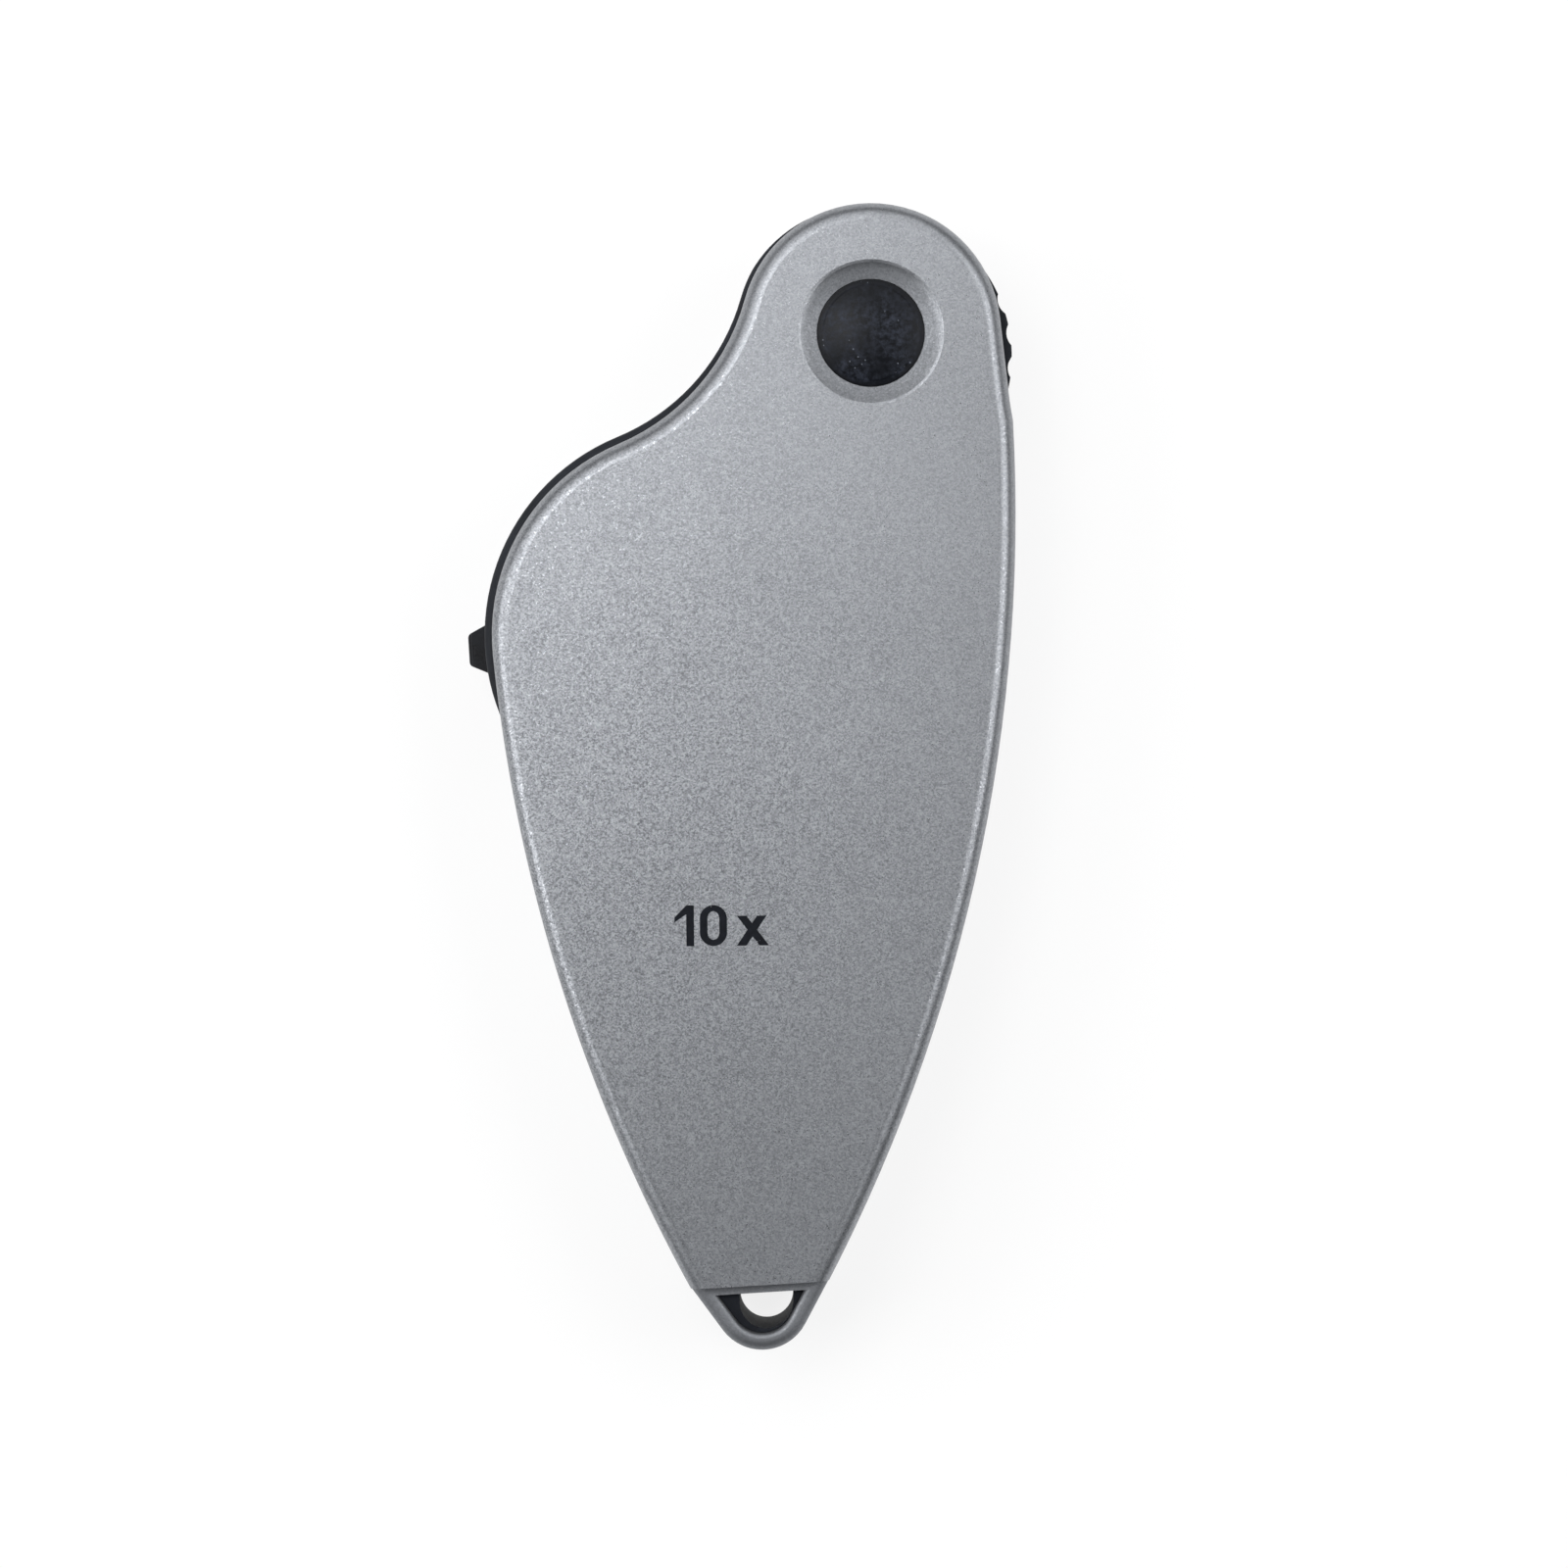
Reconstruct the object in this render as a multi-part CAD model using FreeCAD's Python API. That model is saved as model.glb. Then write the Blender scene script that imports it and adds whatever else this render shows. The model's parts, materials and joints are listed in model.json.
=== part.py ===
import FreeCAD, Part
import math
import os

os.makedirs("parts", exist_ok=True)
Vector = FreeCAD.Vector

# Folding pocket loupe, closed. Lengths are millimetres and angles are degrees.
# It lies on its back: the rear face is at z = 0, +Z points to the viewer and
# +Y points to the hinge end. The origin is under the widest section of the leaf.

# Case outline: a leaf of two flank arcs, a lobe round the hinge and a bulge
# that follows the lens ring, joined by one hollow arc. The leaf is as wide as
# the bulge and a margin, and its flanks would meet at the reach.
case_depth = 16.0
leaf_margin = 4.83
leaf_reach = 73.65
flank_pieces = 10
hinge_inset = 11.7
hinge_y = 13.5
lobe_radius = 10.65
notch_radius = 17.9
thumb_recess_angle = 6.0
thumb_recess_run = 6.1
thumb_recess_drop = 7.2
thumb_wall_drop = 0.4
shoulder_left_reach = 5.51
shoulder_right_reach = 5.81

# Case shells
plate_thickness = 2.4
wall_thickness = 1.8
face_fillet = 1.4
corner_round = 1.8
lip_height = 0.8
lip_inset = 0.95
fit_clearance = 0.05
overrun = 1.0
surface_tolerance = 1e-6

# Lanyard lug and its eye
lug_step = 1.6
lug_tip_radius = 4.0
lug_tip_x = 0.3
lug_tip_drop = 1.475
lug_rim = 1.4
lug_fillet = 0.95
eye_fillet = 0.4
lug_overlap = 2.5
eye_drop = 0.6
eye_hole_x = 0.66
eye_hole_half_width = 2.2
eye_hole_foot = 1.75
liner_recess = 0.8
liner_flange = 0.4
liner_flange_length = 1.0

# Pivot: screw, nut and sleeve between the two shells, under a cap on each side
dish_radius = 5.84
dish_depth = 0.72
dish_sag = 0.035
dish_lip = 0.45
cap_radius = 4.36
cap_seat_depth = 1.5
cap_crown_recess = 0.1
cap_dome_height = 0.55
cap_skin = 0.7
cap_skirt = 0.7
pivot_boss_radius = 4.6
pivot_boss_height = 1.6
head_pocket_depth = 1.35
screw_head_radius = 3.3
screw_shank_radius = 1.5
screw_slot_width = 0.8
screw_slot_depth = 0.7
nut_across_flats = 5.5
sleeve_radius = 3.0
bush_wall = 0.85
washer_thickness = 0.3
washer_radius = 4.5
wave_thickness = 0.2
wave_bow = 0.3

# Lens carrier: ring, arm and hub in two halves
swing_gap = 0.2
hub_show = 0.4
ring_show = 0.68
arm_web = 0.77
carrier_notch_radius = 17.4
carrier_skin = 1.2
carrier_fillet = 0.6
hub_relief = 0.1
hub_relief_start = -32.0
hub_relief_end = 97.0
hub_taper_end = 150.0
hub_taper_angle = 200.0
hub_taper_shift = 0.53
thumb_pad_show = 1.67
thumb_pad_shift_x = -0.74
thumb_pad_shift_y = -1.78
thumb_pad_start = -26.0
thumb_pad_end = 31.0
thumb_groove_radius = 1.5
thumb_groove_sink = 0.3
thumb_groove_pitch = 12.3
thumb_groove_first = -16.75
thumb_groove_count = 4

# Swing stop: a boss of the rear shell in an arc groove of the hub
swing_range = 180.0
stop_angle = -30.0
stop_orbit_radius = 8.0
stop_radius = 1.1
stop_height = 1.7
stop_clearance = 0.15

# Triplet lens in its threaded cell
lens_radius = 10.6
outer_curve_radius = 24.0
lens_gap = 0.79
crown_edge = 0.4
flint_centre = 0.9
cell_wall = 1.15
cell_end_recess = 0.3
cell_lip = 0.7
cell_lip_length = 0.6
cell_flange = 0.5
cell_flange_length = 1.2
lens_seat_wall = 1.15
retainer_slot = 1.0

# Button cells across the arm, and their cap with its contact
cell_stack_distance = 10.6
button_cell_cover = 1.45
button_cell_length = 3.6
button_cell_count = 3
button_cell_step = 0.35
battery_spring_room = 1.475
leaf_thickness = 0.3
cap_rim = 0.7
cap_disc_length = 1.5
cap_plug_length = 1.3
cap_face = 10.2
cap_lug_height = 0.45
cap_lug_length = 0.6
cap_lug_angle = 40.0
cap_turn = 45.0
cap_slot_width = 1.1
cap_slot_depth = 0.8
contact_dimple_radius = 1.5
contact_dimple_height = 0.35
strip_width = 2.0
strip_gap = 0.15
well_wall = 0.8

# Lamp, circuit board and slide switch in the channel round the lens
channel_width = 3.35
channel_margin_angle = 1.0
board_start = 80.0
board_end = 200.0
board_inner_gap = 0.25
board_outer_gap = 0.25
board_thickness = 0.8
lamp_angle = 130.0
lamp_side_gap = 0.075
lamp_round_share = 0.547
lamp_flange = 0.15
lamp_flange_share = 0.375
lamp_tip_recess = 0.15
switch_angle = 183.0
switch_can_length = 6.6
switch_can_height = 3.6
switch_can_depth = 2.4
switch_travel = 2.0
knob_base_length = 3.9
knob_crown_length = 2.5
knob_height = 3.6
knob_rise = 1.45
knob_fillet = 0.5
knob_crown_share = 0.75
knob_stem_length = 2.0
knob_stem_height = 1.6
knob_clearance = 0.1

# Screws of the case and of the carrier
arm_screw_gap = 0.32
arm_screw_angle = 168.7
flank_screw_inset = 3.65
right_screw_y = -38.0
left_screw_y = -40.5
tail_screw_rise = 7.0
case_screw_head_radius = 1.9
case_screw_head_height = 1.3
case_screw_head_sink = 1.7
case_screw_radius = 1.0
case_screw_reach = 4.2
case_boss_radius = 2.4
carrier_screw_head_radius = 1.3
carrier_screw_head_height = 0.8
carrier_screw_head_sink = 1.0
carrier_screw_radius = 0.7
carrier_screw_reach = 3.2
carrier_boss_radius = 1.75
ring_screw_angles = [10.0, 240.0, 300.0]
hub_screw_angles = [176.0, 304.0]
hub_screw_share = 0.43
recess_reach_share = 0.62
recess_width_share = 0.3
recess_depth_share = 0.55

# Heights, from the depth of the case
mid = case_depth / 2
front_inner = case_depth - plate_thickness
rear_inner = plate_thickness
carrier_front_z = front_inner - swing_gap
carrier_rear_z = rear_inner + swing_gap
carrier_half_depth = mid - carrier_rear_z
button_cell_radius = carrier_half_depth - button_cell_cover
cap_disc_radius = button_cell_radius + cap_rim
cap_plug_radius = button_cell_radius - fit_clearance
board_top = mid - switch_can_height / 2
board_underside = board_top - board_thickness
lamp_tip = carrier_rear_z + lamp_tip_recess
lamp_round = (board_underside - lamp_tip) * lamp_round_share
lamp_flange_height = (board_underside - carrier_rear_z - carrier_skin) * lamp_flange_share
lens_half_thickness = mid - plate_thickness - lens_gap
crown_half_thickness = lens_half_thickness - flint_centre
cement_curve_rise = crown_half_thickness - crown_edge / 2
cement_curve_radius = (cement_curve_rise ** 2 + lens_radius ** 2) / (2 * cement_curve_rise)

# Rings round the lens, and the leaf round the rings
lens_seat_radius = lens_radius + cell_wall + 2 * fit_clearance
lens_seat_outer = lens_seat_radius + lens_seat_wall
channel_outer = lens_seat_outer + channel_width
channel_mid = (lens_seat_outer + channel_outer) / 2
lamp_radius = channel_width / 2 - lamp_flange - lamp_side_gap
carrier_ring_radius = channel_outer + carrier_skin
bulge_radius = carrier_ring_radius - ring_show
leaf_half_width = bulge_radius + leaf_margin
flank_radius = (leaf_reach ** 2 + leaf_half_width ** 2) / (2 * leaf_half_width)
flank_centre_x = flank_radius - leaf_half_width
shoulder_left_y = -math.sqrt(flank_radius ** 2 - (flank_centre_x + shoulder_left_reach) ** 2)
shoulder_right_y = -math.sqrt(flank_radius ** 2 - (flank_centre_x + shoulder_right_reach) ** 2)
shoulder_y = (shoulder_left_y + shoulder_right_y) / 2
lug_tip_y = shoulder_y - lug_tip_drop
eye_hole_bottom_y = lug_tip_y - lug_tip_radius + eye_hole_foot

# Hub of the lens carrier, round the hinge
hinge_x = leaf_half_width - hinge_inset
hinge = Vector(hinge_x, hinge_y, 0)
carrier_hub_radius = lobe_radius + hub_show
hub_relief_radius = lobe_radius - hub_relief
hub_bore_radius = pivot_boss_radius + 2 * swing_gap
hub_screw_orbit = hub_bore_radius + (carrier_hub_radius - hub_bore_radius) * hub_screw_share
thumb_pad_radius = lobe_radius + thumb_pad_show
thumb_recess_corner_y = hinge_y - thumb_recess_drop
hub_clear_radius = thumb_pad_radius + swing_gap


def meeting_point(centre_a, reach_a, centre_b, reach_b, side):
    # Point at one reach from each of two centres, on one side of their line.
    line_vector = centre_b - centre_a
    span = line_vector.Length
    along = (reach_a ** 2 - reach_b ** 2 + span ** 2) / (2 * span)
    across = math.sqrt(reach_a ** 2 - along ** 2)
    unit = Vector(line_vector).normalize()
    return centre_a + unit * along + Vector(-unit.y, unit.x, 0) * across * side


# Arm from the hinge to the lens, whose ring touches the left flank's arc from inside
arm_length = cell_stack_distance + button_cell_radius + arm_web + lens_seat_outer
left_flank_centre = Vector(flank_centre_x, 0, 0)
ring_centre = meeting_point(hinge, arm_length, left_flank_centre, flank_radius - bulge_radius, -1)
arm = ring_centre - hinge
arm_angle = math.degrees(math.atan2(arm.y, arm.x))
arm_along = Vector(arm).normalize()
arm_across = Vector(-arm_along.y, arm_along.x, 0)
sweep_radius = arm_length + carrier_ring_radius + 2 * swing_gap


def heading(angle):
    return Vector(math.cos(math.radians(angle)), math.sin(math.radians(angle)), 0)


def polar(centre, radius, angle):
    return centre + heading(angle) * radius


def direction(start, end):
    return math.degrees(math.atan2(end.y - start.y, end.x - start.x))


def arc_about(centre, radius, start_angle, end_angle):
    # Arc that runs from one angle to the other, either way round.
    middle = (start_angle + end_angle) / 2
    points = [polar(centre, radius, angle) for angle in (start_angle, middle, end_angle)]
    return Part.Arc(*points).toShape()


def arc_pieces(centre, radius, start_angle, end_angle, pieces):
    step = (end_angle - start_angle) / pieces
    angles = [start_angle + step * number for number in range(pieces)]
    return [arc_about(centre, radius, angle, angle + step) for angle in angles]


def arc_leaving(start, heading_vector, end):
    # Arc that leaves its start along a heading and ends at a point.
    chord = end - start
    normal = Vector(-chord.y, chord.x, 0).normalize()
    if normal.dot(heading_vector) < 0:
        normal = -normal
    turn = heading_vector.getAngle(chord)
    middle = start + chord / 2 + normal * (chord.Length / 2 * math.tan(turn / 2))
    return Part.Arc(start, middle, end).toShape()


def line(start, end):
    return Part.makeLine(start, end)


def face_of(edges):
    return Part.Face(Part.Wire(Part.__sortEdges__(edges)))


def prism(face, bottom, top):
    solid = face.extrude(Vector(0, 0, top - bottom))
    solid.translate(Vector(0, 0, bottom))
    return solid


def cylinder(centre, radius, bottom, top):
    return Part.makeCylinder(radius, top - bottom, Vector(centre.x, centre.y, bottom))


def tube(centre, inner, outer, bottom, top):
    return cylinder(centre, outer, bottom, top).cut(cylinder(centre, inner, bottom, top))


def sector(centre, inner, outer, start_angle, end_angle, bottom, top):
    edges = [
        arc_about(centre, outer, start_angle, end_angle),
        line(polar(centre, outer, end_angle), polar(centre, inner, end_angle)),
        arc_about(centre, inner, end_angle, start_angle),
        line(polar(centre, inner, start_angle), polar(centre, outer, start_angle)),
    ]
    return prism(face_of(edges), bottom, top)


def turned(profile, centre):
    # Solid of revolution of a closed (radius, z) profile about an upright axis.
    points = [Vector(centre.x + radius, centre.y, z) for radius, z in profile]
    face = Part.Face(Part.makePolygon(points + points[:1]))
    return face.revolve(centre, Vector(0, 0, 1), 360)


def arm_point(along, across, z):
    return hinge + arm_along * along + arm_across * across + Vector(0, 0, z)


def across_cylinder(radius, start, end):
    base = arm_point(cell_stack_distance, start, mid)
    return Part.makeCylinder(radius, end - start, base, arm_across)


def block(origin, x_axis, y_axis, x_range, y_range, z_range):
    # Upright block whose plan is set out along two level axes from an origin.
    corners = []
    for x, y in ((0, 0), (1, 0), (1, 1), (0, 1)):
        corners.append(origin + x_axis * x_range[x] + y_axis * y_range[y])
    face = Part.Face(Part.makePolygon(corners + corners[:1]))
    return prism(face, z_range[0], z_range[1])


def joined(first, others):
    solid = first.fuse(list(others))
    return solid.removeSplitter()


def mirrored_to_rear(shape):
    return shape.mirror(Vector(0, 0, mid), Vector(0, 0, 1))


def tangent_centre(radius_a, radius_b, hollow_radius, side):
    # Centre of the hollow arc that touches the hub and the ring from outside.
    return meeting_point(hinge, radius_a + hollow_radius, ring_centre, radius_b + hollow_radius, side)


def flank_point(side, y):
    return Vector(side * (math.sqrt(flank_radius ** 2 - y ** 2) - flank_centre_x), y, 0)


def case_screw_spots():
    # One in the hollow of the arm, one inside each flank and one above the tail.
    hollow = tangent_centre(carrier_hub_radius, carrier_ring_radius, carrier_notch_radius, 1)
    reach = carrier_notch_radius - case_boss_radius - 2 * swing_gap - arm_screw_gap
    tail_y = shoulder_y + tail_screw_rise
    return [
        polar(hollow, reach, arm_screw_angle),
        flank_point(1, right_screw_y) - Vector(flank_screw_inset, 0, 0),
        flank_point(-1, left_screw_y) + Vector(flank_screw_inset, 0, 0),
        Vector(lug_tip_x, tail_y, 0),
    ]


def body_face(tail_run=0):
    # Leaf outline, closed at the shoulder line or a run beyond it.
    left_centre = left_flank_centre
    right_centre = -left_flank_centre
    notch_centre = tangent_centre(lobe_radius, bulge_radius, notch_radius, -1)
    flank_end = direction(left_centre, ring_centre) % 360
    bulge_end = direction(ring_centre, notch_centre)
    lobe_start = direction(hinge, notch_centre)
    recess_start = polar(hinge, lobe_radius, thumb_recess_angle)
    recess_heading = heading(thumb_recess_angle - 90)
    recess_foot = recess_start + recess_heading * thumb_recess_run
    corner = flank_point(1, thumb_recess_corner_y)
    shoulder_left = flank_point(-1, shoulder_left_y - tail_run)
    shoulder_right = flank_point(1, shoulder_right_y - tail_run)
    left_start = direction(left_centre, shoulder_left) % 360
    right_start = direction(right_centre, corner)
    right_end = direction(right_centre, shoulder_right)
    edges = arc_pieces(left_centre, flank_radius, left_start, flank_end, flank_pieces)
    edges += arc_pieces(right_centre, flank_radius, right_start, right_end, flank_pieces)
    edges += [
        arc_about(ring_centre, bulge_radius, flank_end, bulge_end),
        arc_about(notch_centre, notch_radius, bulge_end - 180, lobe_start - 180),
        arc_about(hinge, lobe_radius, lobe_start, thumb_recess_angle),
        line(recess_start, recess_foot),
        arc_leaving(recess_foot, recess_heading, corner),
        line(shoulder_right, shoulder_left),
    ]
    return face_of(edges)


def lug_sides():
    # Shoulder corners, and the points where the lug's straight sides meet its tip.
    tip = Vector(lug_tip_x, lug_tip_y, 0)
    shoulders = []
    touches = []
    for side, y in ((-1, shoulder_left_y), (1, shoulder_right_y)):
        shoulder = flank_point(side, y)
        swing = math.degrees(math.acos(lug_tip_radius / (shoulder - tip).Length))
        shoulders.append(shoulder)
        touches.append(polar(tip, lug_tip_radius, direction(tip, shoulder) - swing * side))
    return shoulders, touches


def lug_face():
    # Lug below the shoulder line, carried a little way up inside the flanks.
    shoulders, touches = lug_sides()
    roots = [
        flank_point(-1, shoulder_left_y + lug_overlap),
        flank_point(1, shoulder_right_y + lug_overlap),
    ]
    bottom = Vector(lug_tip_x, lug_tip_y - lug_tip_radius, 0)
    edges = [
        line(roots[0], shoulders[0]),
        line(shoulders[0], touches[0]),
        Part.Arc(touches[0], bottom, touches[1]).toShape(),
        line(touches[1], shoulders[1]),
        line(shoulders[1], roots[1]),
        line(roots[1], roots[0]),
    ]
    return face_of(edges)


def eye_face(inset):
    # Opening inside the lug's rim, with its straight top a little below the shoulder.
    shoulders, touches = lug_sides()
    tops = []
    for shoulder, touch in zip(shoulders, touches):
        tops.append(shoulder + (shoulder - touch).normalize() * (lug_rim - eye_drop))
    bottom = Vector(lug_tip_x, lug_tip_y - lug_tip_radius, 0)
    edges = [
        line(tops[0], touches[0]),
        Part.Arc(touches[0], bottom, touches[1]).toShape(),
        line(touches[1], tops[1]),
        line(tops[1], tops[0]),
    ]
    return face_of(edges).makeOffset2D(-lug_rim - inset)


def eye_hole(bottom, top):
    # Hole with a round bottom, open up to the straight top of the eye.
    centre_y = eye_hole_bottom_y + eye_hole_half_width
    centre = Vector(eye_hole_x, centre_y, 0)
    left = Vector(eye_hole_x - eye_hole_half_width, shoulder_y, 0)
    right = Vector(eye_hole_x + eye_hole_half_width, shoulder_y, 0)
    edges = [
        line(right, left),
        line(left, polar(centre, eye_hole_half_width, 180)),
        arc_about(centre, eye_hole_half_width, 180, 360),
        line(polar(centre, eye_hole_half_width, 0), right),
    ]
    return prism(face_of(edges), bottom, top).common(prism(eye_face(0), bottom, top))


def carrier_face():
    left_notch = tangent_centre(carrier_hub_radius, carrier_ring_radius, carrier_notch_radius, -1)
    right_notch = tangent_centre(carrier_hub_radius, carrier_ring_radius, carrier_notch_radius, 1)
    hub_left = direction(hinge, left_notch)
    hub_right = direction(hinge, right_notch)
    ring_left = direction(ring_centre, left_notch)
    ring_right = direction(ring_centre, right_notch)
    edges = [
        arc_about(hinge, carrier_hub_radius, hub_left, hub_right),
        arc_about(right_notch, carrier_notch_radius, hub_right + 180, ring_right + 180),
        arc_about(ring_centre, carrier_ring_radius, ring_right, ring_left - 360),
        arc_about(left_notch, carrier_notch_radius, ring_left - 180, hub_left - 180),
    ]
    return face_of(edges)


def level_face(solid, z):
    for face in solid.Faces:
        box = face.BoundBox
        if abs(box.ZMin - z) < surface_tolerance and abs(box.ZMax - z) < surface_tolerance:
            return face


def circle_about(edge, radius):
    # Tells a full circle of this radius from other edges.
    return abs(edge.BoundBox.XLength - 2 * radius) < surface_tolerance and edge.isClosed()


def top_edges(solid, z):
    # Edges of the outer wire of the level face at this height.
    return level_face(solid, z).OuterWire.Edges


def thumb_corner_edge(body):
    # Upright edge where the flank ends at the thumb recess.
    corner = flank_point(1, thumb_recess_corner_y)
    for edge in body.Edges:
        centre = edge.CenterOfMass
        if (Vector(centre.x, centre.y, 0) - corner).Length < fit_clearance:
            return edge


def beyond_shoulder(bottom, top):
    # Everything on the tail's side of the shoulder line.
    left = flank_point(-1, shoulder_left_y)
    right = flank_point(1, shoulder_right_y)
    run = (right - left).normalize()
    down = Vector(run.y, -run.x, 0)
    width = (right - left).Length
    reach = lug_overlap + 2 * overrun
    return block(left, run, down, (-overrun, width + overrun), (0, reach), (bottom, top))


def filleted_leaf():
    # Front half of the leaf, rounded all along its rim but crisp at the shoulder.
    body = prism(body_face(lug_overlap), mid, case_depth)
    body = body.makeFillet(corner_round, [thumb_corner_edge(body)])
    rim = [edge for edge in top_edges(body, case_depth) if edge.CenterOfMass.y > shoulder_y]
    body = body.makeFillet(face_fillet, rim)
    return body.cut(beyond_shoulder(mid - overrun, case_depth + overrun))


def rounded_lug():
    # Front half of the lug, rounded outside and round the eye.
    lug_top = case_depth - lug_step
    lug = prism(lug_face(), mid, lug_top)
    rim_edges = [edge for edge in top_edges(lug, lug_top) if edge.BoundBox.YMin < lug_tip_y]
    lug = lug.makeFillet(lug_fillet, rim_edges)
    lug = lug.cut(prism(eye_face(0), mid - overrun, case_depth))
    top = level_face(lug, lug_top)
    eye_wire = [wire for wire in top.Wires if not wire.isSame(top.OuterWire)][0]
    eye_rim = sorted(eye_wire.Edges, key=lambda edge: edge.CenterOfMass.y)[:-1]
    return lug.makeFillet(eye_fillet, eye_rim)


def sweep_zone(bottom, top):
    # Space that the carrier passes through between the plates, from closed to open.
    start = arm_angle % 360
    fan = sector(hinge, sleeve_radius, sweep_radius, start, start - swing_range, bottom, top)
    ring = cylinder(ring_centre, carrier_ring_radius + swing_gap * 2, bottom, top)
    hub = cylinder(hinge, hub_clear_radius, bottom, top)
    thumb = block(
        hinge,
        Vector(1, 0, 0),
        Vector(0, 1, 0),
        (0, leaf_half_width),
        (thumb_recess_corner_y - thumb_wall_drop - hinge_y, lobe_radius),
        (bottom, top),
    )
    return fan.fuse([ring, hub, thumb])


def half_shell():
    # Front half: face plate, walls, lug half and bosses, without its own fastener holes.
    inner = prism(body_face().makeOffset2D(-wall_thickness), mid, front_inner)
    body = filleted_leaf().cut(inner.fuse(sweep_zone(mid, front_inner)))
    boss_end = front_inner - pivot_boss_height
    bosses = [cylinder(hinge, pivot_boss_radius, boss_end, case_depth - face_fillet)]
    for spot in case_screw_spots():
        bosses.append(cylinder(spot, case_boss_radius, mid, front_inner + overrun))
    shell = body.fuse([rounded_lug()] + bosses)
    eye = prism(eye_face(0), mid - overrun, case_depth + overrun)
    flange_top = mid + liner_flange_length / 2 + fit_clearance
    flange_seat = prism(eye_face(-liner_flange - fit_clearance), mid - overrun, flange_top)
    shell = shell.cut([eye, flange_seat, dish()])
    lip = [edge for edge in level_face(shell, case_depth).Edges if circle_about(edge, dish_radius)]
    return shell.makeFillet(dish_lip, lip).cut(pivot_pocket())


def dish():
    # Hollow round the pivot cap, whose wall is steepest at its rim.
    axis = Vector(hinge_x, hinge_y, 0)
    up = Vector(0, 0, 1)
    rim = axis + Vector(dish_radius, 0, case_depth)
    foot = axis + Vector(cap_radius + fit_clearance, 0, case_depth - dish_depth)
    wall = rim - foot
    sag = Vector(wall.z, 0, -wall.x).normalize() * dish_sag
    top = Vector(hinge_x, hinge_y, case_depth + overrun)
    edges = [
        Part.Arc(foot, foot + wall / 2 + sag, rim).toShape(),
        line(rim, rim + up * overrun),
        line(rim + up * overrun, top),
        line(top, top - up * (overrun + dish_depth)),
        line(top - up * (overrun + dish_depth), foot),
    ]
    return face_of(edges).revolve(hinge, up, 360)


def pivot_pocket():
    # Cap seat and clearance bore of the front side.
    seat = case_depth - cap_seat_depth
    cap_bore = cap_radius + fit_clearance
    boss_end = front_inner - pivot_boss_height
    profile = [
        (0, case_depth),
        (cap_bore, case_depth),
        (cap_bore, seat),
        (screw_shank_radius + fit_clearance, seat),
        (screw_shank_radius + fit_clearance, boss_end - overrun),
        (0, boss_end - overrun),
    ]
    return turned(profile, hinge)


def lip_band(inset, bottom, top):
    face = body_face()
    outer = prism(face.makeOffset2D(-inset), bottom, top)
    inner = prism(face.makeOffset2D(-wall_thickness - fit_clearance), bottom, top)
    return outer.cut(inner.fuse(sweep_zone(bottom - overrun, top + overrun)))


def lug_block(bottom, top):
    # Keeps the lip clear of the eye and the lug.
    return prism(lug_face(), bottom, top)


def front_shell():
    shell = half_shell()
    head_floor = case_depth - cap_seat_depth - head_pocket_depth
    cuts = [cylinder(hinge, screw_head_radius + fit_clearance, head_floor, case_depth)]
    rebate = lip_band(lip_inset - fit_clearance, mid - overrun, mid + lip_height + fit_clearance)
    cuts.append(rebate)
    for spot in case_screw_spots():
        pilot = case_screw_radius + fit_clearance
        end = mid + case_screw_reach + fit_clearance
        cuts.append(cylinder(spot, pilot, mid - overrun, end))
    return shell.cut(cuts)


def rear_shell():
    shell = mirrored_to_rear(half_shell())
    nut_floor = cap_seat_depth + head_pocket_depth
    stop_place = polar(hinge, stop_orbit_radius, stop_angle)
    stop = cylinder(stop_place, stop_radius, rear_inner - overrun, rear_inner + stop_height)
    lip = lip_band(lip_inset, mid - overrun, mid + lip_height)
    lip = lip.cut(lug_block(mid - 2 * overrun, mid + 2 * overrun))
    shell = shell.fuse([stop, lip])
    cuts = [hex_prism(nut_across_flats / 2 + fit_clearance, -overrun, nut_floor)]
    for place in case_screw_spots():
        head_bore = case_screw_head_radius + 2 * fit_clearance
        cuts.append(cylinder(place, head_bore, -overrun, case_screw_head_sink))
        cuts.append(cylinder(place, case_screw_radius + fit_clearance, -overrun, mid + overrun))
    return shell.cut(cuts)


def hex_prism(half_flats, bottom, top):
    corner = half_flats / math.cos(math.radians(30))
    corners = [polar(hinge, corner, 60 * step) for step in range(6)]
    return prism(Part.Face(Part.makePolygon(corners + corners[:1])), bottom, top)


def eye_liner():
    bottom = lug_step + liner_recess
    top = case_depth - bottom
    liner = prism(eye_face(fit_clearance), bottom, top)
    half_flange = liner_flange_length / 2
    flange = prism(eye_face(-liner_flange), mid - half_flange, mid + half_flange)
    return joined(liner, [flange]).cut(eye_hole(bottom - overrun, top + overrun))


def pivot_cap():
    # Domed disc on a short skirt; its underside is hollow over the screw head.
    seat = case_depth - cap_seat_depth
    crown = case_depth - cap_crown_recess
    edge = crown - cap_dome_height
    dome_radius = (cap_radius ** 2 + cap_dome_height ** 2) / (2 * cap_dome_height)
    dome_centre = Vector(hinge_x, hinge_y, crown - dome_radius)
    hollow_radius = cap_radius - cap_skirt
    blank = cylinder(hinge, cap_radius, seat, crown + overrun)
    blank = blank.common(Part.makeSphere(dome_radius, dome_centre))
    hollow = cylinder(hinge, hollow_radius, seat, edge - cap_skin + cap_dome_height / 2)
    return blank.cut(hollow)


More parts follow.
